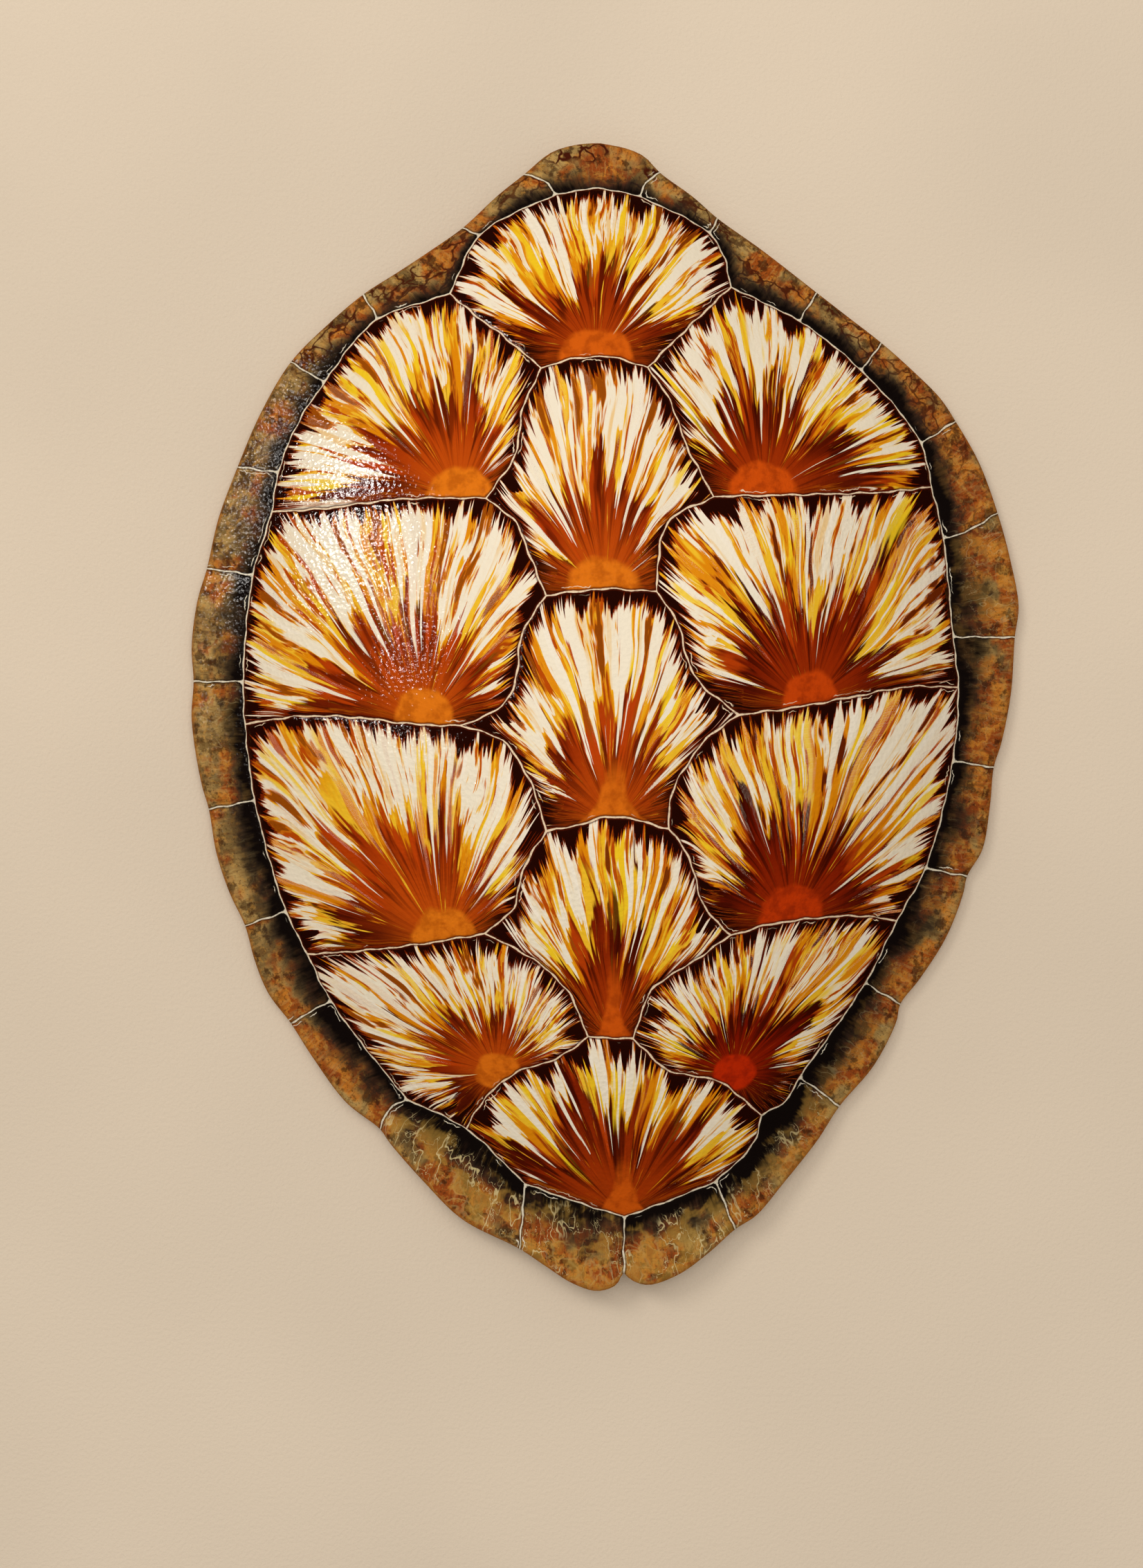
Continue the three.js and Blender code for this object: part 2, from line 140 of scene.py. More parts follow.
# Seams and edge as runs: names are corners, pairs of numbers are points on the way.
SEAM_RUNS: list[list[Stop]] = [
    ["nL", "m1L", "c1L"],
    ["c1L", "m2L", (-130, 192), "m3L", (-157, 153), "m4L", "c2L", "m5L", "m6L", "c3L", "m7L",
     "m8L", "c4L", "m9L", "m10L"],
    ["m10L", "c5L", "m11L"],
    ["m11L", "tail"],
    ["nR", "m1R", (61, 236), "c1R"],
    ["c1R", "m2R", "m3R", "m4R", "c2R", "m5R", "m6R", "c3R", "m7R", "m8R", "c4R", "m9R", "m10R",
     (93, -197), "c5R"],
    ["c5R", (76, -220), "m11R"],
    ["m11R", "tail"],
    ["nL", (-3, 271), "nR"],
    ["v1L", (-17, 172), (1, 173), "v1R"],
    ["v3L", (-3, 57), "v3R"],
    ["v5L", (-14, -54), (3, -50), "v5R"],
    ["v7L", "v7R"],
    ["c1L", (-68, 203), (-51, 187), "v1L"],
    ["v1L", (-41, 146), (-44, 124), "v2L"],
    ["c2L", (-140, 103), (-101, 104), "v2L"],
    ["v2L", (-44, 90), (-36, 71), "v3L"],
    ["v3L", (-40, 37), (-45, 9), (-55, -1), "v4L"],
    ["c3L", (-155, -1), (-125, -2), (-92, -6), "v4L"],
    ["v4L", (-50, -14), (-36, -35), "v5L"],
    ["v5L", (-40, -75), (-45, -94), "v6L"],
    ["c4L", (-135, -120), (-95, -114), "v6L"],
    ["v6L", (-36, -119), (-19, -135), "v7L"],
    ["v7L", (-23, -169), (-46, -179), (-62, -195), "c5L"],
    ["c1R", (43, 194), "v1R"],
    ["v1R", (31, 150), (38, 129), "v2R"],
    ["c2R", (137, 111), (95, 106), "v2R"],
    ["v2R", (29, 90), (24, 72), "v3R"],
    ["v3R", (32, 43), (41, 16), "v4R"],
    ["c3R", (152, 14), (121, 8), (90, 2), "v4R"],
    ["v4R", (46, -14), (30, -40), "v5R"],
    ["v5R", (38, -68), (47, -94), "v6R"],
    ["c4R", (127, -101), (82, -103), "v6R"],
    ["v6R", (41, -121), (22, -134), "v7R"],
    ["v7R", (31, -176), (56, -183), "c5R"],
    ["nL", (-30, 276), "e0L"],
    ["nR", (22, 277), "e0R"],
    ["m10L", (-113, -205), "e10L"],
    ["m5R", (183, 94), "e5R"],
    ["tail", "notch"],
]
SEAM_RUNS += [
    [f"m{i}{side}", f"e{i}{side}"]
    for side in "LR"
    for i in range(1, 12)
    if (side, i) not in {("L", 10), ("R", 5)}
]
EDGE_RUN: list[Stop] = [
    "neck", (-15, 297), (-28, 293), "e0L", (-55, 272), "e1L", (-90, 244), (-107, 233), "e2L",
    (-144, 206), "e3L", (-180, 159), "e4L", (-202, 104), "e5L", (-213, 61), (-216, 37), "e6L",
    (-216, -1), (-211, -34), "e7L", (-203, -71), (-196, -92), "e8L", (-183, -127), (-176, -144),
    "e9L", (-153, -177), (-135, -201), "e10L", (-112, -222), (-94, -242), (-74, -261), "e11L",
    (-30, -285), (-17, -293), (-4, -297), (6, -294), "notch", (13, -291), (22, -294), (38, -289),
    (54, -278), "e11R", (79, -259), (93, -243), (111, -221), "e10R", (141, -182), (153, -159),
    "e9R", (165, -137), (179, -115), (188, -92), "e8R", (198, -69), (202, -46), "e7R",
    (208, -13), (213, 13), "e6R", (217, 58), (213, 81), "e5R", (196, 134), "e4R", (176, 167),
    (162, 181), "e3R", (128, 209), "e2R", (82, 244), "e1R", (46, 271), "e0R", (21, 291),
    (12, 295), "neck",
]
SEAM_RING = (
    "nL m1L c1L m2L m3L m4L c2L m5L m6L c3L m7L m8L c4L m9L m10L c5L m11L tail "
    "m11R c5R m10R m9R c4R m8R m7R c3R m6R m5R c2R m4R m3R m2R c1R m1R nR"
).split()
INNER_SEAMS = [
    "n m1", "m1 c1 m2", "m2 m3", "m3 m4", "m4 c2 m5", "m5 m6", "m6 c3 m7", "m7 m8", "m8 c4 m9",
    "m9 m10", "m10 c5 m11", "m11 tail",
]


class Surface(Enum):
    """The three surfaces that the shell shows, each with its place in the list of materials."""

    PLATE = 0
    RIM = 1
    BONE = 2

    @property
    def label(self) -> str:
        """Name of the material."""
        return ("rayed_horn", "mottled_horn", "bare_bone")[self.value]


@dataclass(frozen=True)
class Scute:
    """One large plate and the fan of rays on it.

    Attributes:
        name: Plain name of the plate.
        corners: Its corners, in order round it.
        source: The point that the rays fan out from, mm.
        disc: Half width and half height of the plain disc round that point, mm.
        flame: How far the disc runs up into the rays, 0 to 1.
        redness: 0 for an orange disc and a light core, 1 for a red disc and a dark core.
        spread: Half angle of the fan, radians.
        core: How far out the core's colours end, as a share of the mean ray.
    """

    name: str
    corners: str
    source: tuple[float, float]
    disc: tuple[float, float]
    flame: float = 0.15
    redness: float = 0.2
    spread: float = 1.85
    core: float = 0.8


SCUTES = [
    Scute("vertebral_1", "nL m1L c1L v1L v1R c1R m1R nR", (-5, 173), (18, 15), redness=0.5),
    Scute("vertebral_2", "v1L v2L v3L v3R v2R v1R", (-2, 55), (18, 17), redness=0.1),
    Scute("vertebral_3", "v3L v4L v5L v5R v4R v3R", (3, -53), (16, 17), flame=0.45, redness=0.25),
    Scute("vertebral_4", "v5L v6L v7L v7R v6R v5R", (3, -160), (11, 16), flame=0.6, redness=0.6),
    Scute("vertebral_5", "v7L c5L m11L tail m11R c5R v7R", (9, -256), (15, 17), flame=0.5,
          redness=0.55, core=1.1),
    Scute("costal_1_left", "c1L m2L m3L m4L c2L v2L v1L", (-71, 103), (16, 16), redness=0.05),
    Scute("costal_2_left", "c2L m5L m6L c3L v4L v3L v2L", (-88, -6), (15, 17), flame=0.3,
          redness=0.05, core=0.74),
    Scute("costal_3_left", "c3L m7L m8L c4L v6L v5L v4L", (-79, -113), (17, 18), redness=0.05),
    Scute("costal_4_left", "c4L m9L m10L c5L v7L v6L", (-54, -178), (11.5, 10), redness=0.2,
          spread=2.7, core=0.72),
    Scute("costal_1_right", "c1R m2R m3R m4R c2R v2R v1R", (76, 104), (18, 17), redness=0.7,
          core=0.95),
    Scute("costal_2_right", "c2R m5R m6R c3R v4R v3R v2R", (98, 3), (15, 17), redness=0.8),
    Scute("costal_3_right", "c3R m7R m8R c4R v6R v5R v4R", (91, -103), (17, 20), redness=0.9),
    Scute("costal_4_right", "c4R m9R m10R c5R v7R v6R", (64, -179), (11.5, 10), redness=1.0,
          spread=2.5),
]


def colour(code: str) -> tuple[float, float, float, float]:
    """Turns a screen colour into the linear values that shaders work in.

    Args:
        code: Six hexadecimal digits.

    Returns:
        Red, green, blue and an alpha of 1.
    """
    shares = [int(code[i : i + 2], 16) / 255 for i in (0, 2, 4)]
    linear = [s / 12.92 if s <= 0.04045 else ((s + 0.055) / 1.055) ** 2.4 for s in shares]
    return (*linear, 1.0)


def smooth(values: np.ndarray) -> np.ndarray:
    """Eases values from 0 to 1 with a level start and end.

    Args:
        values: Any numbers; those outside 0 to 1 are held at the ends.

    Returns:
        The eased values.
    """
    t = np.clip(values, 0.0, 1.0)
    return t * t * (3 - 2 * t)


def through_points(points: np.ndarray, fine: int = 16) -> np.ndarray:
    """Centripetal curve through points in the plane, the kind that never loops between them.

    Args:
        points: Rows of x and y.
        fine: Steps from each point to the next.

    Returns:
        Rows of x and y along the curve, the given points among them.
    """
    ends = [2 * points[0] - points[1], *points, 2 * points[-1] - points[-2]]
    t = np.linspace(0, 1, fine, endpoint=False)[:, None]
    rows = []
    for a, b, c, d in zip(ends, ends[1:], ends[2:], ends[3:]):
        ab, bc, cd = (max(1e-4, math.sqrt(math.dist(p, q))) for p, q in ((a, b), (b, c), (c, d)))
        leave = ((b - a) / ab - (c - a) / (ab + bc) + (c - b) / bc) * bc
        arrive = ((c - b) / bc - (d - b) / (bc + cd) + (d - c) / cd) * bc
        rows.append(b + leave * t + (3 * (c - b) - 2 * leave - arrive) * t**2
                    + (2 * (b - c) + leave + arrive) * t**3)
    return np.vstack([*rows, points[-1]])


def travelled(line: np.ndarray) -> np.ndarray:
    """Distance along a line at each of its points.

    Args:
        line: Rows of x and y.

    Returns:
        Distances, mm.
    """
    return np.concatenate([[0], np.cumsum(np.hypot(*np.diff(line, axis=0).T))])


def resample(line: np.ndarray, shares: np.ndarray) -> np.ndarray:
    """Points of a line at given shares of its length.

    Args:
        line: Rows of x and y.
        shares: Shares from 0 to 1.

    Returns:
        One row of x and y for each share.
    """
    along = travelled(line)
    wanted = shares * along[-1]
    return np.column_stack([np.interp(wanted, along, line[:, k]) for k in (0, 1)])


def nearest(line: np.ndarray, points: np.ndarray) -> tuple[np.ndarray, np.ndarray]:
    """Nearest place of an open line to each of many points.

    Args:
        line: Rows of x and y.
        points: Rows of x and y.

    Returns:
        The distances, and the nearest places as rows of x and y.
    """
    start, way = line[:-1], np.diff(line, axis=0)
    length = np.maximum(1e-9, (way**2).sum(1))
    distances, places = [], []
    for part in np.array_split(points, max(1, len(points) // 2000)):
        gap = part[:, None] - start[None]
        t = np.clip((gap * way).sum(2) / length, 0, 1)
        spot = start + way * t[..., None]
        far = np.hypot(*(part[:, None] - spot).transpose(2, 0, 1))
        pick = far.argmin(1)
        rows = np.arange(len(part))
        distances.append(far[rows, pick])
        places.append(spot[rows, pick])
    return np.concatenate(distances), np.vstack(places)


def waver(line: np.ndarray, seed: float) -> np.ndarray:
    """Lets a seam waver a little from side to side between its ends.

    Args:
        line: Rows of x and y.
        seed: Number that sets this seam apart.

    Returns:
        The wavering line.
    """
    along = travelled(line)
    run = np.gradient(line, axis=0)
    run /= np.hypot(*run.T)[:, None]
    sway = np.sin(along / 1.9 + seed) + 0.8 * np.sin(along / 3.3 + 2.3 * seed)
    sway *= WAVER * smooth(along / WAVER_START) * smooth((along[-1] - along) / WAVER_START)
    return line + np.column_stack([-run[:, 1], run[:, 0]]) * sway[:, None]


@dataclass
class SeamNet:
    """All seams and the edge, cut at their corners.

    Attributes:
        step: Distance between points along a seam, mm.
        lines: Fine lines between two corners, both ways round.
    """

    step: float
    lines: dict[tuple[str, str], np.ndarray] = field(default_factory=dict)

    def __post_init__(self) -> None:
        """Draws every run and keeps its pieces."""
        fine = 16
        for run in [*SEAM_RUNS, EDGE_RUN]:
            points = np.array([CORNERS[s] if isinstance(s, str) else s for s in run], float)
            curve = through_points(points, fine)
            named = [i for i, stop in enumerate(run) if isinstance(stop, str)]
            for a, b in zip(named, named[1:]):
                line = curve[a * fine : b * fine + 1]
                if run is not EDGE_RUN:
                    line = waver(line, len(self.lines) * 1.7)
                self.lines[run[a], run[b]] = line
                self.lines[run[b], run[a]] = line[::-1]

    def cells(self, line: np.ndarray) -> int:
        """Number of cells that a line is cut into.

        Args:
            line: Rows of x and y.

        Returns:
            The number, 1 at least.
        """
        return max(1, round(float(np.hypot(*np.diff(line, axis=0).T).sum()) / self.step))

    def path(self, names: Sequence[str]) -> np.ndarray:
        """Evenly stepped points through a row of corners.

        Args:
            names: Corners, each joined to the next by a seam or edge.

        Returns:
            Rows of x and y, both ends included.
        """
        parts = []
        for pair in zip(names, names[1:]):
            line = self.lines[pair]
            parts.append(resample(line, np.linspace(0, 1, self.cells(line) + 1))[:-1])
        return np.vstack([*parts, [CORNERS[names[-1]]]])

    def loop(self, names: Sequence[str]) -> np.ndarray:
        """Evenly stepped points round a plate, the first one repeated at the end.

        Args:
            names: Corners in order round the plate.

        Returns:
            Rows of x and y.
        """
        return self.path([*names, names[0]])


@dataclass
class Form:
    """Heights of the shell over the ground, from the plan of its seams and edge.

    Attributes:
        seam_ring: Closed line between dome and brim.
        edge_ring: Closed line of the free edge.
    """

    seam_ring: np.ndarray
    edge_ring: np.ndarray

    def lift(self, y: np.ndarray) -> np.ndarray:
        """How far the edge is off the ground: none along the sides, rising to neck and tail.

        Args:
            y: Places along the shell, mm.

        Returns:
            Heights, mm.
        """
        ahead = y > CENTRE[1]
        end = np.where(ahead, EDGE_ENDS[1], EDGE_ENDS[0])
        share = (y - CENTRE[1]) / (end - CENTRE[1])
        return np.where(ahead, FRONT_LIFT, BACK_LIFT) * np.maximum(0, 2 * share - 1) ** 2

    def reach(self, points: np.ndarray) -> np.ndarray:
        """Distance from the centre to the seam ring towards each point, smoothed round the shell.

        Args:
            points: Rows of x and y.

        Returns:
            Distances, mm.
        """
        spread = 0.16
        ring = self.seam_ring[:-1] - CENTRE
        angles, radii = np.arctan2(ring[:, 1], ring[:, 0]), np.hypot(*ring.T)
        towards = np.arctan2(points[:, 1] - CENTRE[1], points[:, 0])
        turn = np.angle(np.exp(1j * (angles[None] - towards[:, None])))
        weights = np.exp(-((turn / spread) ** 2))
        return (weights * radii).sum(1) / weights.sum(1)

    def share(self, points: np.ndarray) -> np.ndarray:
        """How far each point is on the way from the centre to the seam ring.

        Args:
            points: Rows of x and y.

        Returns:
            0 at the centre, 1 at the ring.
        """
        return np.hypot(points[:, 0], points[:, 1] - CENTRE[1]) / self.reach(points)

    def dome(self, points: np.ndarray) -> np.ndarray:
        """Height of the dome, with the shallow unevenness of grown bone.

        Args:
            points: Rows of x and y.

        Returns:
            Heights, mm.
        """
        share = self.share(points)
        x, y = points.T
        sway = (np.sin(x / 31 + 0.7) * np.sin(y / 37 + 1.9) + 0.6 * np.sin(x / 19 - y / 23 + 0.4))
        fade = smooth((1 - share) / 0.25)
        rise = (CREST_HEIGHT - SEAM_HEIGHT) * (1 - share**DOME_POWER)
        return SEAM_HEIGHT + rise + self.lift(y) + UNEVENNESS * sway * fade

    def brim(self, points: np.ndarray) -> tuple[np.ndarray, np.ndarray, np.ndarray]:
        """Height of the brim, which flattens out from the dome's flank towards the edge.

        Args:
            points: Rows of x and y.

        Returns:
            Heights, distances from the seam ring and distances from the edge, all mm.
        """
        inward, spots = nearest(self.seam_ring, points)
        outward, _ = nearest(self.edge_ring, points)
        edge = self.lift(points[:, 1]) + LIP_HEIGHT
        part = outward / np.maximum(1e-6, inward + outward)
        return edge + (self.dome(spots) - edge) * part**BRIM_POWER, inward, outward

    def inner_wall(self, points: np.ndarray) -> np.ndarray:
        """Height of the bone's inner face, a wall's thickness below the dome.

        Args:
            points: Rows of x and y.

        Returns:
            Heights, mm.
        """
        span = self.reach(points)
        share = np.hypot(points[:, 0], points[:, 1] - CENTRE[1]) / span
        fall = (CREST_HEIGHT - SEAM_HEIGHT) * share**DOME_POWER
        slope = (CREST_HEIGHT - SEAM_HEIGHT) * DOME_POWER * share ** (DOME_POWER - 1) / span
        top = CREST_HEIGHT - fall + self.lift(points[:, 1])
        return top - WALL * np.hypot(1, slope)


def select_only(objects: Sequence[bpy.types.Object]) -> None:
    """Selects these objects alone and makes the first one active.

    Args:
        objects: The objects.
    """
    bpy.ops.object.select_all(action="DESELECT")
    for item in objects:
        item.select_set(True)
    bpy.context.view_layer.objects.active = objects[0]


def lay_net(name: str, places: np.ndarray, marks: dict[str, Sequence[np.ndarray]],
            surface: Surface) -> bpy.types.Object:
    """Lays a square net over a plate.

    Args:
        name: Name of the net.
        places: Columns by rows by x, y and z, mm.
        marks: Values for the surface's shaders, three flat arrays to a mark.
        surface: The surface that the net shows.

    Returns:
        The net.
    """
    columns, rows = places.shape[:2]
    bpy.ops.mesh.primitive_grid_add(x_subdivisions=columns - 1, y_subdivisions=rows - 1, size=2)
    net = bpy.context.object
    net.name = name
    mesh = net.data
    flat = np.empty(len(mesh.vertices) * 3)
    mesh.vertices.foreach_get("co", flat)
    flat = flat.reshape(-1, 3)
    column = np.rint((flat[:, 0] + 1) / 2 * (columns - 1)).astype(int)
    row = np.rint((flat[:, 1] + 1) / 2 * (rows - 1)).astype(int)
    mesh.vertices.foreach_set("co", (places[column, row] * MM).ravel())
    corner = np.empty(len(mesh.loops), int)
    mesh.loops.foreach_get("vertex_index", corner)
    for layer, values in marks.items():
        target = mesh.attributes.new(layer, "FLOAT_VECTOR", "CORNER")
        table = np.column_stack(values).reshape(places.shape)
        target.data.foreach_set("vector", table[column[corner], row[corner]].ravel())
    while mesh.uv_layers:
        mesh.uv_layers.remove(mesh.uv_layers[0])
    for finish in Surface:
        mesh.materials.append(bpy.data.materials[finish.label])
    mesh.polygons.foreach_set("material_index", [surface.value] * len(mesh.polygons))
    return net


def swell(points: np.ndarray, sides: Sequence[np.ndarray], shoulder: float) -> np.ndarray:
    """How far a plate has risen from its seams, without a crease from its corners.

    Args:
        points: Rows of x and y.
        sides: Lines of the plate's seams.
        shoulder: Distance over which it rises, mm.

    Returns:
        0 on a seam to almost 1 in the middle.
    """
    risen = [1 - np.exp(-nearest(side, points)[0] / shoulder) for side in sides]
    return np.prod(risen, axis=0)


def ring_on(points: np.ndarray, radii: np.ndarray) -> np.ndarray:
    """Moves points along their own direction from the centre.

    Args:
        points: Rows of x and y.
        radii: New distances from the centre, mm.

    Returns:
        Rows of x and y.
    """
    away = points - CENTRE
    return CENTRE + away / np.hypot(*away.T)[:, None] * radii[:, None]


@dataclass
class ScutePlate:
    """One large plate of the dome: a groove round it and a low swell inside.

    Attributes:
        scute: Outline and ray pattern.
        net: Seams.
        form: Heights.
        seed: Number that sets this plate's rays apart.
        rings: Rings of the net inside the shoulder.
    """

    scute: Scute
    net: SeamNet
    form: Form
    seed: float
    rings: int

    def plan(self, outline: np.ndarray) -> np.ndarray:
        """Rings that follow the outline and then close in on the plate's middle.

        Args:
            outline: Closed outline, rows of x and y.

        Returns:
            Columns by rows by x and y.
        """
        ring = outline[:-1]
        x, y = ring.T
        cross = x * np.roll(y, -1) - np.roll(x, -1) * y
        middle = ((ring + np.roll(ring, -1, 0)) * cross[:, None]).sum(0) / (3 * cross.sum())
        run = np.roll(ring, -1, 0) - np.roll(ring, 1, 0)
        run /= np.hypot(*run.T)[:, None]
        way = middle - ring
        way /= np.hypot(*way.T)[:, None]
        lean = np.abs(way[:, 0] * run[:, 1] - way[:, 1] * run[:, 0])
        inward = way / np.maximum(0.5, lean)[:, None]
        rows = [ring + inward * offset for offset in GROOVE_ROWS]
        shares = np.linspace(0, 1, self.rings + 1)[1:]
        rows += [rows[-1] + (middle - rows[-1]) * share for share in shares]
        return np.stack([np.vstack([row, row[:1]]) for row in rows], axis=1)

    def ray_lengths(self, outline: np.ndarray, bearings: np.ndarray) -> np.ndarray:
        """How far rays run from the fan's source to the outline, smoothed from ray to ray.

        Args:
            outline: Closed outline, rows of x and y.
            bearings: Directions of the rays, clockwise from straight ahead, radians.

        Returns:
            Lengths, mm.
        """
        fan = np.linspace(-math.pi, math.pi, 720, endpoint=False)
        ray = np.column_stack([np.sin(fan), np.cos(fan)])[:, None]
        start, way = outline[:-1] - self.scute.source, np.diff(outline, axis=0)
        cross = ray[..., 0] * way[:, 1] - ray[..., 1] * way[:, 0]
        cross = np.where(np.abs(cross) < 1e-9, 1e-9, cross)
        reach = (start[:, 0] * way[:, 1] - start[:, 1] * way[:, 0]) / cross
        part = (start[:, 0] * ray[..., 1] - start[:, 1] * ray[..., 0]) / cross
        lengths = np.where((part >= 0) & (part <= 1) & (reach > 0), reach, 0).max(1)
        window = np.exp(-(np.linspace(-2, 2, 21) ** 2))
        padded = np.concatenate([lengths[-10:], lengths, lengths[:10]])
        lengths = np.convolve(padded, window / window.sum(), "valid")
        return np.maximum(LEAST_RAY, np.interp(bearings, fan, lengths, period=2 * math.pi))

    def cornered(self, names: list[str], points: np.ndarray) -> np.ndarray:
        """How deep in a corner of the plate each point is.

        Args:
            names: Corners round the plate, the first one repeated at the end.
            points: Rows of x and y.

        Returns:
            1 in a corner, 0 far from it or next to one seam only.
        """
        sides: list[list[np.ndarray]] = []
        for pair in zip(names, names[1:]):
            if not sides or pair[0][0] != "m":
                sides.append([])
            sides[-1].append(self.net.lines[pair])
        far = np.sort([nearest(np.vstack(side), points)[0] for side in sides], axis=0)
        return np.exp(-((far[1] / CORNER_REACH) ** 2))

    def build(self) -> bpy.types.Object:
        """Lays the plate's net.

        Returns:
            The net.
        """
        scute = self.scute
        corners = scute.corners.split()
        outline = self.net.loop(corners)
        plan = self.plan(outline)
        points = plan.reshape(-1, 2)
        gap, seam = nearest(outline, points)
        names = [*corners, corners[0]]
        sides = [self.net.lines[pair] for pair in zip(names, names[1:])]
        height = self.form.dome(points) + SCUTE_CROWN * swell(points, sides, SCUTE_SHOULDER)
        height -= GROOVE_DEPTH * np.exp(-((gap / GROOVE_SPREAD) ** 2))
        off = points - scute.source
        limit = self.ray_lengths(outline, np.arctan2(off[:, 0], off[:, 1]))
        along = np.minimum(1, np.hypot(*off.T) / limit) * Scute.core / scute.core
        straight = seam - points
        square = (straight * off).sum(1) / (np.hypot(*off.T) * gap + 1e-6)
        square = np.where(gap > 0.05, np.clip(square, 0, 1), 0.6)
        border = 0.3 + 0.7 * square + 0.9 * self.cornered(names, points)
        ahead = np.linspace(-1.2, 1.2, 25)
        shallow = np.hypot(*off.T) / (scute.core * self.ray_lengths(outline, ahead).mean())
        one = np.ones(len(points))
        marks = {
            "fan": (off[:, 0], off[:, 1], along),
            "edge": (gap, one * self.seed, one * scute.redness),
            "disc": (one * scute.disc[0], one * scute.disc[1], one * scute.flame),
            "spread": (one * scute.spread, shallow, border),
        }
        places = np.column_stack([points, height]).reshape(*plan.shape[:2], 3)
        return lay_net(scute.name, places, marks, Surface.PLATE)


@dataclass
class RimPlate:
    """One small plate of the brim, round the lip and a little way under it.

    Attributes:
        name: Plain name of the plate.
        inner: Corners along the seam with the dome.
        outer: Corners along the edge, in the same direction.
        net: Seams.
        form: Heights.
        seed: Number that sets this plate's mottling apart.
        look: Amounts of dark cracks, pale veins and black along the inner seam (partly painted shade).
        warmth: 0 for grey and olive, 1 for orange and ochre.
    """

    name: str
    inner: list[str]
    outer: list[str]
    net: SeamNet
    form: Form
    seed: float
    look: tuple[float, float, float]
    warmth: float

    ACROSS = np.array([0, 0.03, 0.06, 0.1, 0.16, 0.25, 0.36, 0.48, 0.6, 0.71, 0.8, 0.87, 0.92,
                       0.955, 0.98, 0.993, 1])
    BELOW = (0.5, 1.4, 2.6, 4.0)

    def edge(self) -> np.ndarray:
        """Points on the free edge, one for each column.

        Returns:
            Rows of x and y.
        """
        lines = [self.net.lines[pair] for pair in zip(self.outer, self.outer[1:])]
        whole = np.vstack([lines[0], *[line[1:] for line in lines[1:]]])
        return resample(whole, np.linspace(0, 1, len(self.net.path(self.inner))))

    def build(self) -> bpy.types.Object:
        """Lays the plate's net.

        Returns:
            The net.
        """
        inner, outer = self.net.path(self.inner), self.edge()
        ends = [self.net.lines[self.inner[k], self.outer[k]] for k in (0, -1)]
        side_a, side_b = (resample(line, self.ACROSS) for line in ends)
        u = np.linspace(0, 1, len(inner))[:, None, None]
        v = self.ACROSS[None, :, None]
        plan = (
            (1 - v) * inner[:, None] + v * outer[:, None] + (1 - u) * side_a + u * side_b
            - (1 - u) * (1 - v) * inner[0] - u * (1 - v) * inner[-1]
            - (1 - u) * v * outer[0] - u * v * outer[-1]
        )
        radii = np.hypot(*(outer - CENTRE).T)
        under = np.stack([ring_on(outer, radii - step) for step in self.BELOW], axis=1)
        points = plan.reshape(-1, 2)
        height, _, outward = self.form.brim(points)
        seams = np.vstack([ends[0][::-1], inner, ends[1]])
        gap, _ = nearest(seams, points)
        free = 1 - np.exp(-outward / LIP_FADE)
        height += RIM_CROWN * swell(points, [ends[0], inner, ends[1]], RIM_SHOULDER) * free
        height -= GROOVE_DEPTH * np.exp(-((gap / GROOVE_SPREAD) ** 2)) * free
        curl = LIP_RADIUS - np.minimum(outward, LIP_RADIUS)
        height -= LIP_RADIUS - np.sqrt(LIP_RADIUS**2 - curl**2)
        top = np.column_stack([points, height]).reshape(*plan.shape[:2], 3)
        step = LIP_RADIUS - np.array(self.BELOW)
        rise = LIP_RADIUS - np.sqrt(LIP_RADIUS**2 - step**2)
        below = np.dstack([under, self.form.lift(under[..., 1]) + rise])
        places = np.concatenate([top, below], axis=1)
        flat = places[..., :2].reshape(-1, 2)
        count, rows = places.shape[:2]
        length = np.hypot(*np.diff((inner + outer) / 2, axis=0).T).sum()
        along = np.repeat(np.linspace(0, length, count), rows)
        across, _ = nearest(inner, flat)
        part = np.tile([*self.ACROSS, *[1 + step / 30 for step in self.BELOW]], count)
        gap, _ = nearest(seams, flat)
        one = np.ones(len(flat))
        marks = {
            "fan": (along, across, part),
            "edge": (gap, one * self.seed, one * self.warmth),
            "disc": tuple(one * amount for amount in self.look),
            "spread": (one, one, one),
        }
        return lay_net(self.name, places, marks, Surface.RIM)


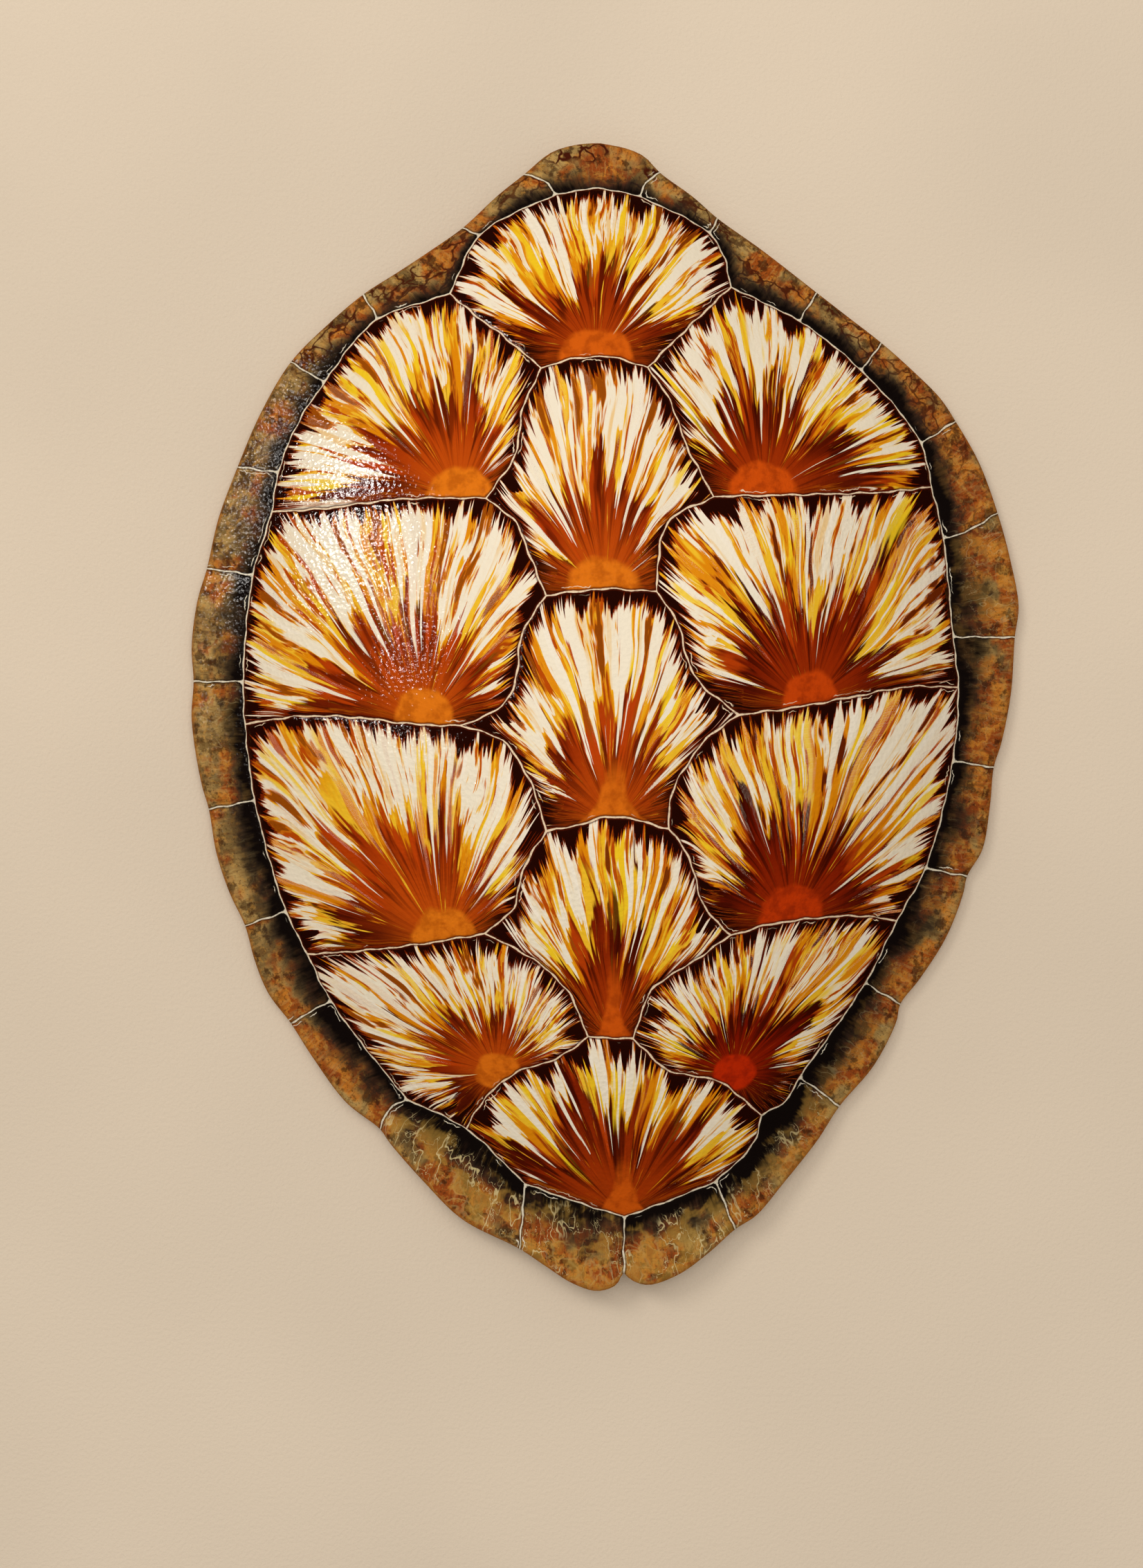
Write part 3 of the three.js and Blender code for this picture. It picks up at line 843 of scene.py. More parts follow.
@dataclass
class Hollow:
    """The underside: a flat band to rest on, the inner wall, the ribs and the backbone.

    Attributes:
        edge: Closed line of the free edge, the points of the brim's own columns.
        net: Seams.
        form: Heights.
        rings: Rings from the foot of the wall to the middle.
    """

    edge: np.ndarray
    net: SeamNet
    form: Form
    rings: int

    def foot_of(self, side: str, number: int) -> np.ndarray:
        """Foot of the inner wall below the middle of a marginal plate.

        Args:
            side: L or R.
            number: Number of the marginal, counted from the neck.

        Returns:
            x and y.
        """
        line = self.net.lines[f"e{number - 1}{side}", f"e{number}{side}"]
        middle = resample(line, np.array([0.5]))
        return ring_on(middle, FOOT_REACH * self.form.reach(middle))[0]

    def ribs(self, points: np.ndarray) -> np.ndarray:
        """How far the ribs stand out of the wall.

        Args:
            points: Rows of x and y.

        Returns:
            Depths, mm.
        """
        x, y = points.T
        depth = np.zeros(len(points))
        for number in RIB_MARGINALS:
            left, right = self.foot_of("L", number), self.foot_of("R", number)
            level = (left[1] + right[1]) / 2
            middle = MIDLINE_LEAN * level
            foot = np.where(x < middle, left[0], right[0])
            low = np.where(x < middle, left[1], right[1])
            way = np.clip((x - foot) / (middle - foot), 0, 1)
            gap = (y - low - (level - low) * way) / RIB_SPREAD
            depth += RIB_HEIGHT * np.interp(way, *RIB_COURSE) * np.exp(-(gap**2))
        return depth

    def backbone(self, points: np.ndarray, foot: np.ndarray) -> np.ndarray:
        """How far the row of fused vertebrae stands out of the wall.

        Args:
            points: Rows of x and y.
            foot: Foot of the inner wall, rows of x and y.

        Returns:
            Depths, mm.
        """
        x, y = points.T
        sides = []
        for part in (foot[foot[:, 0] < 0], foot[foot[:, 0] > 0]):
            part = part[np.argsort(part[:, 1])]
            sides.append(np.interp(y, part[:, 1], part[:, 0]))
        width = (sides[1] - sides[0]) / 2
        base = np.maximum(4, np.minimum(BACKBONE_HALF_WIDTH, width * BACKBONE_SHARE))
        off = np.abs(x - MIDLINE_LEAN * y) / base
        joint = 1 + VERTEBRA_BULGE * np.cos(2 * math.pi * y / VERTEBRA_LENGTH)
        start, full = BACKBONE_FADE
        rise = smooth((width - start) / (full - start)) * smooth((1.05 - off) / 0.75)
        return BACKBONE_DEPTH * rise * joint

    def build(self) -> bpy.types.Object:
        """Lays the underside's net.

        Returns:
            The net.
        """
        form, edge = self.form, self.edge
        outer = np.hypot(*(edge - CENTRE).T)
        seam = form.reach(edge)
        land = np.minimum(seam * LAND_REACH, outer - LEAST_LAND)
        lip, foot = outer - RimPlate.BELOW[-1], seam * FOOT_REACH
        rows = []
        for part in BAND_ROWS:
            points = ring_on(edge, lip + (land - lip) * part)
            rows.append(np.column_stack([points, form.lift(points[:, 1])]))
        for part in FOOT_ROWS:
            points = ring_on(edge, land + (foot - land) * part)
            low = form.lift(points[:, 1])
            high = form.inner_wall(points)
            rows.append(np.column_stack([points, low + (high - low) * smooth(np.array(part))]))
        foot_line = rows[-1][:, :2]
        for share in np.linspace(0, 1, self.rings + 1)[1:]:
            points = CENTRE + (foot_line - CENTRE) * (1 - share)
            relief = self.ribs(points) + self.backbone(points, foot_line)
            height = form.inner_wall(points) - relief * smooth(np.array(share * 5))
            rows.append(np.column_stack([points, height]))
        places = np.stack(rows, axis=1)
        blank = np.zeros(places.size // 3)
        marks = {name: (blank, blank, blank) for name in ("fan", "edge", "disc", "spread")}
        return lay_net("hollow", places, marks, Surface.BONE)


@dataclass
class Carapace:
    """The whole shell as one closed piece.

    Attributes:
        step: Distance between points along a seam, mm.
        scute_rings: Rings inside each large plate.
        hollow_rings: Rings inside the hollow.
    """

    step: float = 2.4
    scute_rings: int = 19
    hollow_rings: int = 34

    # Cracks, veins, black along the inner seam (partly painted shade) and warmth of the marginals, from
    # the neck back, left then right
    LOOKS = {
        "L": [(0.8, 0.1, 0.2, 0.4), (0.9, 0.1, 0.2, 0.4), (0.9, 0.1, 0.22, 0.4),
              (0.6, 0.2, 0.24, 0.3), (0.4, 0.2, 0.24, 0.35), (0.3, 0.3, 0.28, 0.25),
              (0.2, 0.45, 0.28, 0.25), (0.2, 0.35, 0.3, 0.4), (0.2, 0.3, 0.32, 0.5),
              (0.1, 0.3, 0.38, 0.75), (0.1, 1.0, 0.34, 0.8), (0.1, 0.95, 0.26, 0.9)],
        "R": [(0.9, 0.1, 0.2, 0.4), (0.9, 0.1, 0.22, 0.5), (0.9, 0.1, 0.28, 0.4),
              (0.8, 0.1, 0.34, 0.6), (0.6, 0.4, 0.26, 0.85), (0.2, 0.5, 0.26, 0.95),
              (0.1, 0.4, 0.32, 0.8), (0.1, 0.4, 0.36, 0.9), (0.1, 0.4, 0.36, 0.85),
              (0.1, 0.45, 0.4, 0.7), (0.1, 0.7, 0.44, 0.6), (0.1, 0.9, 0.3, 0.6)],
    }

    def rim_plates(self, net: SeamNet, form: Form) -> list[RimPlate]:
        """All plates of the brim in order round the shell, by way of the right side.

        Args:
            net: Seams.
            form: Heights.

        Returns:
            The plates.
        """
        plates = [RimPlate("nuchal", ["nL", "nR"], ["e0L", "neck", "e0R"], net, form, 0.37,
                           (1.0, 0.1, 0.2), 0.5)]
        sides: dict[str, list[RimPlate]] = {}
        for side in "RL":
            sides[side] = []
            for number, seam in enumerate(INNER_SEAMS, start=1):
                inner = [c if c in SHARED else c + side for c in seam.split()]
                outer = [f"e{number - 1}{side}", f"e{number}{side}" if number < 12 else "notch"]
                if side == "L":
                    inner, outer = inner[::-1], outer[::-1]
                *look, warmth = self.LOOKS[side][number - 1]
                seed = number * 1.37 + (0.5 if side == "L" else 17.9)
                sides[side].append(RimPlate(f"marginal_{number}_{side}", inner, outer, net, form,
                                            seed, tuple(look), warmth))
        return plates + sides["R"] + sides["L"][::-1]

    def build(self) -> bpy.types.Object:
        """Lays all nets, joins them and welds their borders.

        Returns:
            The shell.
        """
        net = SeamNet(self.step)
        edge_names = [stop for stop in EDGE_RUN if isinstance(stop, str)]
        edge = [net.lines[pair] for pair in zip(edge_names, edge_names[1:])]
        form = Form(net.loop(SEAM_RING), np.vstack(edge))
        parts = []
        for number, scute in enumerate(SCUTES):
            parts.append(ScutePlate(scute, net, form, number * 3.71 + 1.3, self.scute_rings).build())
            LOG.info("laid %s", scute.name)
        rim = self.rim_plates(net, form)
        parts += [plate.build() for plate in rim]
        LOG.info("laid %d plates of the brim", len(rim))
        ring = np.vstack([*[plate.edge()[:-1] for plate in rim], rim[0].edge()[:1]])
        parts.append(Hollow(ring, net, form, self.hollow_rings).build())
        LOG.info("laid the hollow")
        select_only(parts)
        bpy.ops.object.join()
        shell = bpy.context.object
        shell.name = shell.data.name = "shell"
        bpy.ops.object.mode_set(mode="EDIT")
        bpy.ops.mesh.select_all(action="SELECT")
        bpy.ops.mesh.remove_doubles(threshold=WELD_DISTANCE)
        bpy.ops.mesh.normals_make_consistent(inside=False)
        bpy.ops.object.mode_set(mode="OBJECT")
        bpy.ops.object.shade_smooth()
        return shell


Value = bpy.types.NodeSocket | float | tuple[float, ...]


@dataclass
class Graph:
    """Short ways of adding nodes to one tree.

    Attributes:
        tree: The tree that nodes are added to.
    """

    tree: bpy.types.NodeTree

    def feed(self, socket: bpy.types.NodeSocket, value: Value) -> None:
        """Links a socket or sets its constant.

        Args:
            socket: The input.
            value: Another node's output, or a constant.
        """
        if isinstance(value, bpy.types.NodeSocket):
            self.tree.links.new(value, socket)
        else:
            socket.default_value = value

    def node(self, kind: str, inputs: dict[int | str, Value], **settings: object) -> bpy.types.Node:
        """Adds a node.

        Args:
            kind: Type name of the node.
            inputs: Values for its inputs, by place or name.
            settings: Values for its own properties.

        Returns:
            The node.
        """
        made = self.tree.nodes.new(kind)
        for name, value in settings.items():
            setattr(made, name, value)
        for key, value in inputs.items():
            self.feed(made.inputs[key], value)
        return made

    def math(self, operation: str, a: Value, b: Value = 0.0, c: Value = 0.0) -> Value:
        """Adds one step of arithmetic.

        Args:
            operation: Name of the operation.
            a: First number.
            b: Second number.
            c: Third number.

        Returns:
            The result.
        """
        inputs = {0: a, 1: b, 2: c}
        return self.node("ShaderNodeMath", inputs, operation=operation).outputs[0]

    def ramp(self, value: Value, start: Value, end: Value, low: Value = 0.0,
             high: Value = 1.0) -> Value:
        """Maps a number smoothly from one range to another.

        Args:
            value: The number.
            start: Where the change starts.
            end: Where it ends.
            low: Result at the start.
            high: Result at the end.

        Returns:
            The mapped number.
        """
        inputs = {0: value, 1: start, 2: end, 3: low, 4: high}
        made = self.node("ShaderNodeMapRange", inputs, interpolation_type="SMOOTHSTEP")
        return made.outputs[0]

    def mix(self, amount: Value, under: Value, over: Value) -> Value:
        """Lays one colour over another.

        Args:
            amount: How much of the upper colour shows.
            under: Lower colour.
            over: Upper colour.

        Returns:
            The colour.
        """
        inputs = {0: amount, 6: under, 7: over}
        return self.node("ShaderNodeMix", inputs, data_type="RGBA").outputs[2]

    def blend(self, amount: Value, low: str, high: str) -> Value:
        """Goes from one plain colour to another.

        Args:
            amount: How far.
            low: Colour at 0, six hexadecimal digits.
            high: Colour at 1, the same way.

        Returns:
            The colour.
        """
        return self.mix(amount, colour(low), colour(high))

    def glaze(self, tint: Value, code: str, mask: Value, strength: Value = 1.0) -> Value:
        """Lays one plain colour over a finish where a mask says.

        Args:
            tint: The finish so far.
            code: The colour, six hexadecimal digits.
            mask: Where it shows.
            strength: How well it covers there.

        Returns:
            The finish with it.
        """
        if strength != 1.0:
            mask = self.math("MULTIPLY", mask, strength)
        return self.mix(mask, tint, colour(code))

    def noise(self, place: Value, scale: Value, detail: float = 2.0, roughness: float = 0.5,
              solid: bool = False) -> Value:
        """Adds soft noise over a place.

        Args:
            place: Where it is read.
            scale: Its fineness.
            detail: Number of finer layers.
            roughness: Strength of those layers.
            solid: Whether it changes with all three numbers of the place, or the first two.

        Returns:
            Numbers about 0.5.
        """
        inputs = {"Vector": place, "Scale": scale, "Detail": detail, "Roughness": roughness}
        sort = "3D" if solid else "2D"
        return self.node("ShaderNodeTexNoise", inputs, noise_dimensions=sort).outputs[0]

    def vector(self, x: Value, y: Value, z: Value = 0.0) -> Value:
        """Joins three numbers.

        Args:
            x: First number.
            y: Second number.
            z: Third number.

        Returns:
            The vector.
        """
        return self.node("ShaderNodeCombineXYZ", {0: x, 1: y, 2: z}).outputs[0]

    def split(self, name: str) -> list[Value]:
        """Reads one of the shell's own marks.

        Args:
            name: Name of the mark.

        Returns:
            Its three numbers.
        """
        mark = self.node("ShaderNodeAttribute", {}, attribute_name=name)
        return list(self.node("ShaderNodeSeparateXYZ", {0: mark.outputs["Vector"]}).outputs)

    def use(self, group: bpy.types.NodeTree, inputs: dict[int | str, Value]) -> bpy.types.Node:
        """Adds a node group.

        Args:
            group: The group.
            inputs: Values for its inputs.

        Returns:
            Its node.
        """
        return self.node("ShaderNodeGroup", inputs, node_tree=group)


def new_group(name: str, inputs: Sequence[str], outputs: dict[str, str]) -> tuple[Graph, dict]:
    """Starts a node group.

    Args:
        name: Name of the group.
        inputs: Names of its inputs, all of them numbers but Place, which is a vector.
        outputs: Kind of each output by its name.

    Returns:
        The group's graph, and its inputs by name with the node of its outputs under "out".
    """
    tree = bpy.data.node_groups.new(name, "ShaderNodeTree")
    for each in inputs:
        kind = "NodeSocketVector" if each == "Place" else "NodeSocketFloat"
        tree.interface.new_socket(each, in_out="INPUT", socket_type=kind)
    for each, kind in outputs.items():
        tree.interface.new_socket(each, in_out="OUTPUT", socket_type=kind)
    given = tree.nodes.new("NodeGroupInput")
    ports = {each: given.outputs[each] for each in inputs}
    ports["out"] = tree.nodes.new("NodeGroupOutput")
    return Graph(tree), ports


def feather_group() -> bpy.types.NodeTree:
    """Strokes that grow together outwards, with hairy sides: the swells of a stretched noise.

    Returns:
        A group with the strokes' mask and a wider one of their fringe.
    """
    names = ("Angle", "Along", "Seed", "Count", "Stretch", "Start", "Full", "Level", "Softness")
    outputs = {"Mask": "NodeSocketFloat", "Fringe": "NodeSocketFloat"}
    g, port = new_group("Feathered Rays", names, outputs)
    turn = g.math("MULTIPLY_ADD", port["Angle"], port["Count"], port["Seed"])
    place = g.vector(turn, g.math("MULTIPLY_ADD", port["Along"], port["Stretch"], port["Seed"]))
    swells = g.noise(place, 1.0, 3.0, 0.62)
    level = g.ramp(port["Along"], port["Start"], port["Full"], 0.76, port["Level"])
    room = g.math("SUBTRACT", swells, level)
    g.feed(port["out"].inputs["Mask"], g.ramp(room, 0.0, port["Softness"]))
    g.feed(port["out"].inputs["Fringe"], g.ramp(room, -0.05, -0.005))
    return g.tree


def whisker_group() -> bpy.types.NodeTree:
    """Single long strokes with a round tip towards the source.

    Returns:
        A group with the strokes' mask.
    """
    names = ("Angle", "Along", "Seed", "Count", "Tip Low", "Tip High", "Width", "Presence",
             "Bristle")
    g, port = new_group("Whiskers", names, {"Mask": "NodeSocketFloat"})
    turn = g.math("MULTIPLY_ADD", port["Angle"], port["Count"], port["Seed"])
    place = g.vector(g.math("FLOOR", turn), port["Seed"])
    draw = g.node("ShaderNodeTexWhiteNoise", {0: place}, noise_dimensions="2D")
    parts = g.node("ShaderNodeSeparateColor", {0: draw.outputs["Color"]}).outputs
    middle = g.math("MULTIPLY_ADD", parts[0], 0.4, 0.3)
    tip = g.ramp(parts[1], 0.0, 1.0, port["Tip Low"], port["Tip High"])
    past = g.math("SUBTRACT", port["Along"], tip)
    rounded = g.math("SQRT", g.ramp(past, 0.0, 0.12))
    size = g.math("MULTIPLY_ADD", draw.outputs["Value"], 0.8, 0.6)
    half = g.math("MULTIPLY", g.math("MULTIPLY", size, port["Width"]), rounded)
    half = g.math("MULTIPLY", half, g.math("MULTIPLY_ADD", past, 1.2, 0.55))
    off = g.math("ABSOLUTE", g.math("SUBTRACT", g.math("FRACT", turn), middle))
    ragged = g.math("MULTIPLY_ADD", g.math("SUBTRACT", port["Bristle"], 0.5), 0.3, off)
    there = g.math("LESS_THAN", parts[2], port["Presence"])
    shown = g.math("MULTIPLY", there, g.math("GREATER_THAN", past, 0.0))
    mask = g.math("MULTIPLY", g.ramp(g.math("SUBTRACT", half, ragged), 0.0, 0.05), shown)
    g.feed(port["out"].inputs["Mask"], mask)
    return g.tree


def seam_group() -> bpy.types.NodeTree:
    """The pale line in the seams, here and there doubled, with a dark one beside it.

    Returns:
        A group with the masks of the pale and the dark line.
    """
    outputs = {"Pale": "NodeSocketFloat", "Dark": "NodeSocketFloat"}
    g, port = new_group("Seam Line", ("Place", "Gap"), outputs)
    wobble = g.noise(port["Place"], 170.0, 2.0, 0.6)
    wide = g.math("MULTIPLY_ADD", wobble, 0.8, 0.02)
    line = g.ramp(g.math("SUBTRACT", wide, port["Gap"]), -0.05, 0.2)
    patchy = g.noise(port["Place"], 60.0, 1.0)
    second = g.math("ABSOLUTE", g.math("SUBTRACT", port["Gap"], g.math("MULTIPLY", wobble, 3.8)))
    second = g.math("MULTIPLY", g.ramp(second, 0.28, 0.08), g.ramp(patchy, 0.62, 0.68))
    broken = g.ramp(g.noise(port["Place"], 420.0, 1.0), 0.3, 0.42, 0.72, 1.0)
    pale = g.math("MULTIPLY", g.math("MAXIMUM", line, second), broken)
    g.feed(port["out"].inputs["Pale"], pale)
    dark = g.ramp(g.math("SUBTRACT", port["Gap"], wide), 1.1, 0.2)
    g.feed(port["out"].inputs["Dark"], dark)
    return g.tree


def varnish_group() -> bpy.types.NodeTree:
    """Thick varnish: leathery wrinkles, brush ridges and a few pits.

    Returns:
        A group with the height of the varnish, mm.
    """
    g, port = new_group("Varnish", ("Place", "Amount"), {"Height": "NodeSocketFloat"})
    cells = g.node(
        "ShaderNodeTexVoronoi",
        {"Vector": port["Place"], "Scale": 420.0, "Randomness": 1.0},
        feature="F1",
        voronoi_dimensions="2D",
    )
    soft = g.noise(port["Place"], 260.0, 3.0, 0.6)
    fine = g.noise(port["Place"], 900.0, 2.0, 0.5)
    height = g.math("MULTIPLY_ADD", cells.outputs["Distance"], 0.8, soft)
    height = g.math("MULTIPLY_ADD", fine, 0.35, height)
    height = g.math("MULTIPLY", height, port["Amount"])
    g.feed(port["out"].inputs["Height"], height)
    return g.tree


def start_material(name: str) -> tuple[Graph, bpy.types.Node, Value]:
    """Makes a material with an empty shader.

    Args:
        name: Name of the material.

    Returns:
        Its graph, its shader and the place on the object, in metres.
    """
    material = bpy.data.materials.new(name)
    material.use_nodes = True
    graph = Graph(material.node_tree)
    place = graph.node("ShaderNodeTexCoord", {}).outputs["Object"]
    return graph, material.node_tree.nodes["Principled BSDF"], place


@dataclass(frozen=True)
class Feather:
    """One layer of feathered strokes on the large plates.

    Attributes:
        shade: Colour of the strokes.
        count: Strokes in a radian.
        start: Share of the way out where the first tips are.
        full: Share of the way out where the layer is fully spread.
        level: 0.5 covers half of the ring there; less covers more.
        softness: Width of the soft side of a stroke.
        strength: How well a stroke covers.
        fringe: Colour of a fringe on both sides, or nothing.
        stretch: How much a stroke changes on its way out.
        tinge: How much some of the strokes lean to gold.
        deepening: Whether they cover less on light plates than on dark ones.
    """

    shade: str
    count: float
    start: float
    full: float
    level: float
    softness: float = 0.02
    strength: float = 1.0
    fringe: str = ""
    stretch: float = 0.9
    tinge: float = 0.0
    deepening: bool = False


@dataclass(frozen=True)
class Whisker:
    """One layer of single strokes on the large plates.

    Attributes:
        shade: Colour of the strokes.
        count: Places for a stroke in a radian.
        tips: Nearest and farthest tip on the way out, as shares.
        width: Half width, as a share of the space for one stroke.
        presence: Share of the places that have a stroke.
    """

    shade: str
    count: float
    tips: tuple[float, float]
    width: float
    presence: float


LAYERS: tuple[Feather | Whisker, ...] = (
    Feather("3e0b02", 7.0, 0.05, 0.45, 0.485, 0.1, 1.0, stretch=1.4, deepening=True),
    Feather("c4440a", 5.0, 0.0, 0.5, 0.52, 0.1, 0.8, stretch=1.2),
    Feather("7d5a12", 8.0, 0.1, 0.6, 0.58, 0.04, 0.4),
    Feather("e28a0c", 8.0, 0.15, 0.7, 0.465, 0.05, 1.0, "ac430a"),
    Feather("f4c02c", 7.0, 0.2, 0.75, 0.465, 0.05),
    Feather("f5e9d0", 6.5, 0.22, 0.8, 0.47, 0.008, 1.0, "eda818", tinge=0.7),
    Feather("f8cf26", 6.0, 0.22, 0.8, 0.515, 0.08, 0.9),
    Feather("e58c10", 11.0, 0.25, 0.85, 0.565, 0.02, 0.95, "f4bc2c", 1.4),
    Feather("f5e9d0", 17.0, 0.3, 0.85, 0.535, 0.01, tinge=0.5),
    Feather("b84206", 26.0, 0.25, 0.8, 0.605, 0.015, 0.95, "eba428", 2.5),
    Feather("5e1604", 12.0, 0.2, 0.9, 0.605, 0.02, 1.0, "cf7010", 2.0, deepening=True),
    Whisker("f6ead2", 7.0, (0.25, 0.48), 0.2, 0.6),
    Whisker("f8edd8", 15.0, (0.3, 0.7), 0.17, 0.4),
)


# Teeth of the black border, mm: their mean depth, and how far they vary finely and broadly
BORDER_MEAN = -25.2
BORDER_COMB = 32.0
BORDER_REACH = 28.0

# Pale roots on the brim: fineness along and across it, and half width
ROOTS = ((0.06, 0.03, 0.014), (0.13, 0.08, 0.009))


@dataclass(frozen=True)
class Fan:
    """What the layers of a large plate's finish read, all from one graph.

    Attributes:
        g: Graph of the material.
        place: Place on the object, m.
        across: Distance to the side of the fan's source, mm.
        up: Distance ahead of it, mm.
        along: Share of the way out.
        gap: Distance from the nearest seam, mm.
        seed: Number that sets the plates apart.
        red: 0 for a light plate, 1 for a dark red one.
        angle: Direction of the ray.
    """

    g: Graph
    place: Value
    across: Value
    up: Value
    along: Value
    gap: Value
    seed: Value
    red: Value
    angle: Value

    def noise(self, round_by: float, out_by: float, detail: float,
              roughness: float = 0.5) -> Value:
        """Noise that is drawn out along the rays.

        Args:
            round_by: Fineness from ray to ray.
            out_by: Fineness along a ray.
            detail: Number of finer layers.
            roughness: Strength of those layers.

        Returns:
            Numbers about 0.5.
        """
        g = self.g
        shifted = g.math("MULTIPLY_ADD", self.seed, 31.7, g.math("MULTIPLY", self.angle, round_by))
        spot = g.vector(shifted, g.math("MULTIPLY", self.along, out_by))
        return g.noise(spot, 1.0, detail, roughness)


@dataclass
class Finishes:
    """The shell's materials.

    Attributes:
        feathers: Group of feathered strokes.
        whiskers: Group of single strokes.
        seams: Group of seam lines.
        varnish: Group of the varnish's height.
    """

    feathers: bpy.types.NodeTree = field(default_factory=feather_group)
    whiskers: bpy.types.NodeTree = field(default_factory=whisker_group)
    seams: bpy.types.NodeTree = field(default_factory=seam_group)
    varnish: bpy.types.NodeTree = field(default_factory=varnish_group)

    def finish(self, g: Graph, shader: bpy.types.Node, place: Value, tint: Value,
               wrinkle: float, coat: Value) -> None:
        """Lays the varnish over a colour.

        Args:
            g: Graph of the material.
            shader: Its shader.
            place: Place on the object.
            tint: The colour.
            wrinkle: Height of the wrinkles, 1 for those of the large plates.
            coat: How thick the varnish is.
        """
        amount = g.ramp(g.noise(place, 9.0, 2.0), 0.35, 0.65, 0.45, 1.0)
        height = g.use(self.varnish, {"Place": place, "Amount": amount}).outputs["Height"]
        bump = g.node("ShaderNodeBump", {"Strength": 1.0, "Distance": 0.00034 * wrinkle,
                                         "Height": height})
        g.feed(shader.inputs["Base Color"], tint)
        g.feed(shader.inputs["Roughness"], 0.6)
        g.feed(shader.inputs["Specular IOR Level"], 0.0)
        g.feed(shader.inputs["Coat Weight"], coat)
        g.feed(shader.inputs["Coat Roughness"], 0.05)
        g.feed(shader.inputs["Normal"], bump.outputs["Normal"])
        g.feed(shader.inputs["Coat Normal"], bump.outputs["Normal"])

    @staticmethod
    def core(fan: Fan, streak: Value, far: Value, deep: Value) -> Value:
        """The streaked red-brown ground of a plate.

        Args:
            fan: The plate's fan.
            streak: Noise drawn out along the rays.
            far: Share of the way out, with some rays ahead of others.
            deep: How dark the plate is.

        Returns:
            The colour.
        """
        g = fan.g
        inner = g.blend(fan.red, "c84e0c", "8a1a03")
        outer = g.blend(fan.red, "9c2e06", "661002")
        tint = g.mix(g.ramp(fan.along, 0.08, 0.6), inner, outer)
        streaked = g.math("MULTIPLY", g.ramp(streak, 0.45, 0.6), g.ramp(far, 0.02, 0.35))
        return g.glaze(tint, "4a0e02", streaked, deep)

    def strokes(self, fan: Fan, tint: Value, streak: Value, far: Value, bristle: Value,
                deep: Value) -> Value:
        """All layers of strokes, the first one lowest.

        Args:
            fan: The plate's fan.
            tint: The finish below.
            streak: Noise drawn out along the rays.
            far: Share of the way out, with some rays ahead of others.
            bristle: Fine noise from ray to ray.
            deep: How dark the plate is.

        Returns:
            The finish with the strokes.
        """
        g = fan.g
        gold = g.ramp(streak, 0.5, 0.66)
        for number, layer in enumerate(LAYERS, start=1):
            base = {"Angle": fan.angle, "Along": far, "Count": layer.count,
                    "Seed": g.math("MULTIPLY_ADD", fan.seed, 3.17, number * 7.7)}
            if isinstance(layer, Whisker):
                marks = g.use(self.whiskers, base | {
                    "Tip Low": layer.tips[0], "Tip High": layer.tips[1], "Width": layer.width,
                    "Presence": layer.presence, "Bristle": bristle,
                }).outputs
                tint = g.glaze(tint, layer.shade, marks["Mask"])
                continue
            marks = g.use(self.feathers, base | {
                "Stretch": layer.stretch, "Start": layer.start, "Full": layer.full,
                "Level": layer.level, "Softness": layer.softness,
            }).outputs
            if layer.fringe:
                tint = g.glaze(tint, layer.fringe, marks["Fringe"])
            strength = g.math("MULTIPLY", deep, layer.strength) if layer.deepening else layer.strength
            shade = colour(layer.shade)
            if layer.tinge:
                shade = g.mix(g.math("MULTIPLY", gold, layer.tinge), shade, colour("eebd66"))
            tint = g.mix(g.math("MULTIPLY", marks["Mask"], strength), tint, shade)
        return tint

    @staticmethod
    def black_border(fan: Fan, tint: Value, depth: Value) -> Value:
        """The toothed black border along the seams, with a rust edge.

        Args:
            fan: The plate's fan.
            tint: The finish below.
            depth: How deep the border is there, as a share of the usual.

        Returns:
            The finish with the border.
        """
        g = fan.g
        border = g.math("MULTIPLY_ADD", fan.noise(40.0, 0.0, 2.0, 0.7), BORDER_COMB, BORDER_MEAN)
        border = g.math("MULTIPLY_ADD", fan.noise(9.0, 0.0, 1.0), BORDER_REACH, border)
        border = g.math("SUBTRACT", g.math("MULTIPLY", border, depth), fan.gap)
        tint = g.glaze(tint, "c4660c", g.ramp(border, -2.2, -1.6), 0.5)
        tint = g.glaze(tint, "7a2405", g.ramp(border, -1.4, -0.6))
        return g.glaze(tint, "230803", g.ramp(border, 0.4, 1.3))

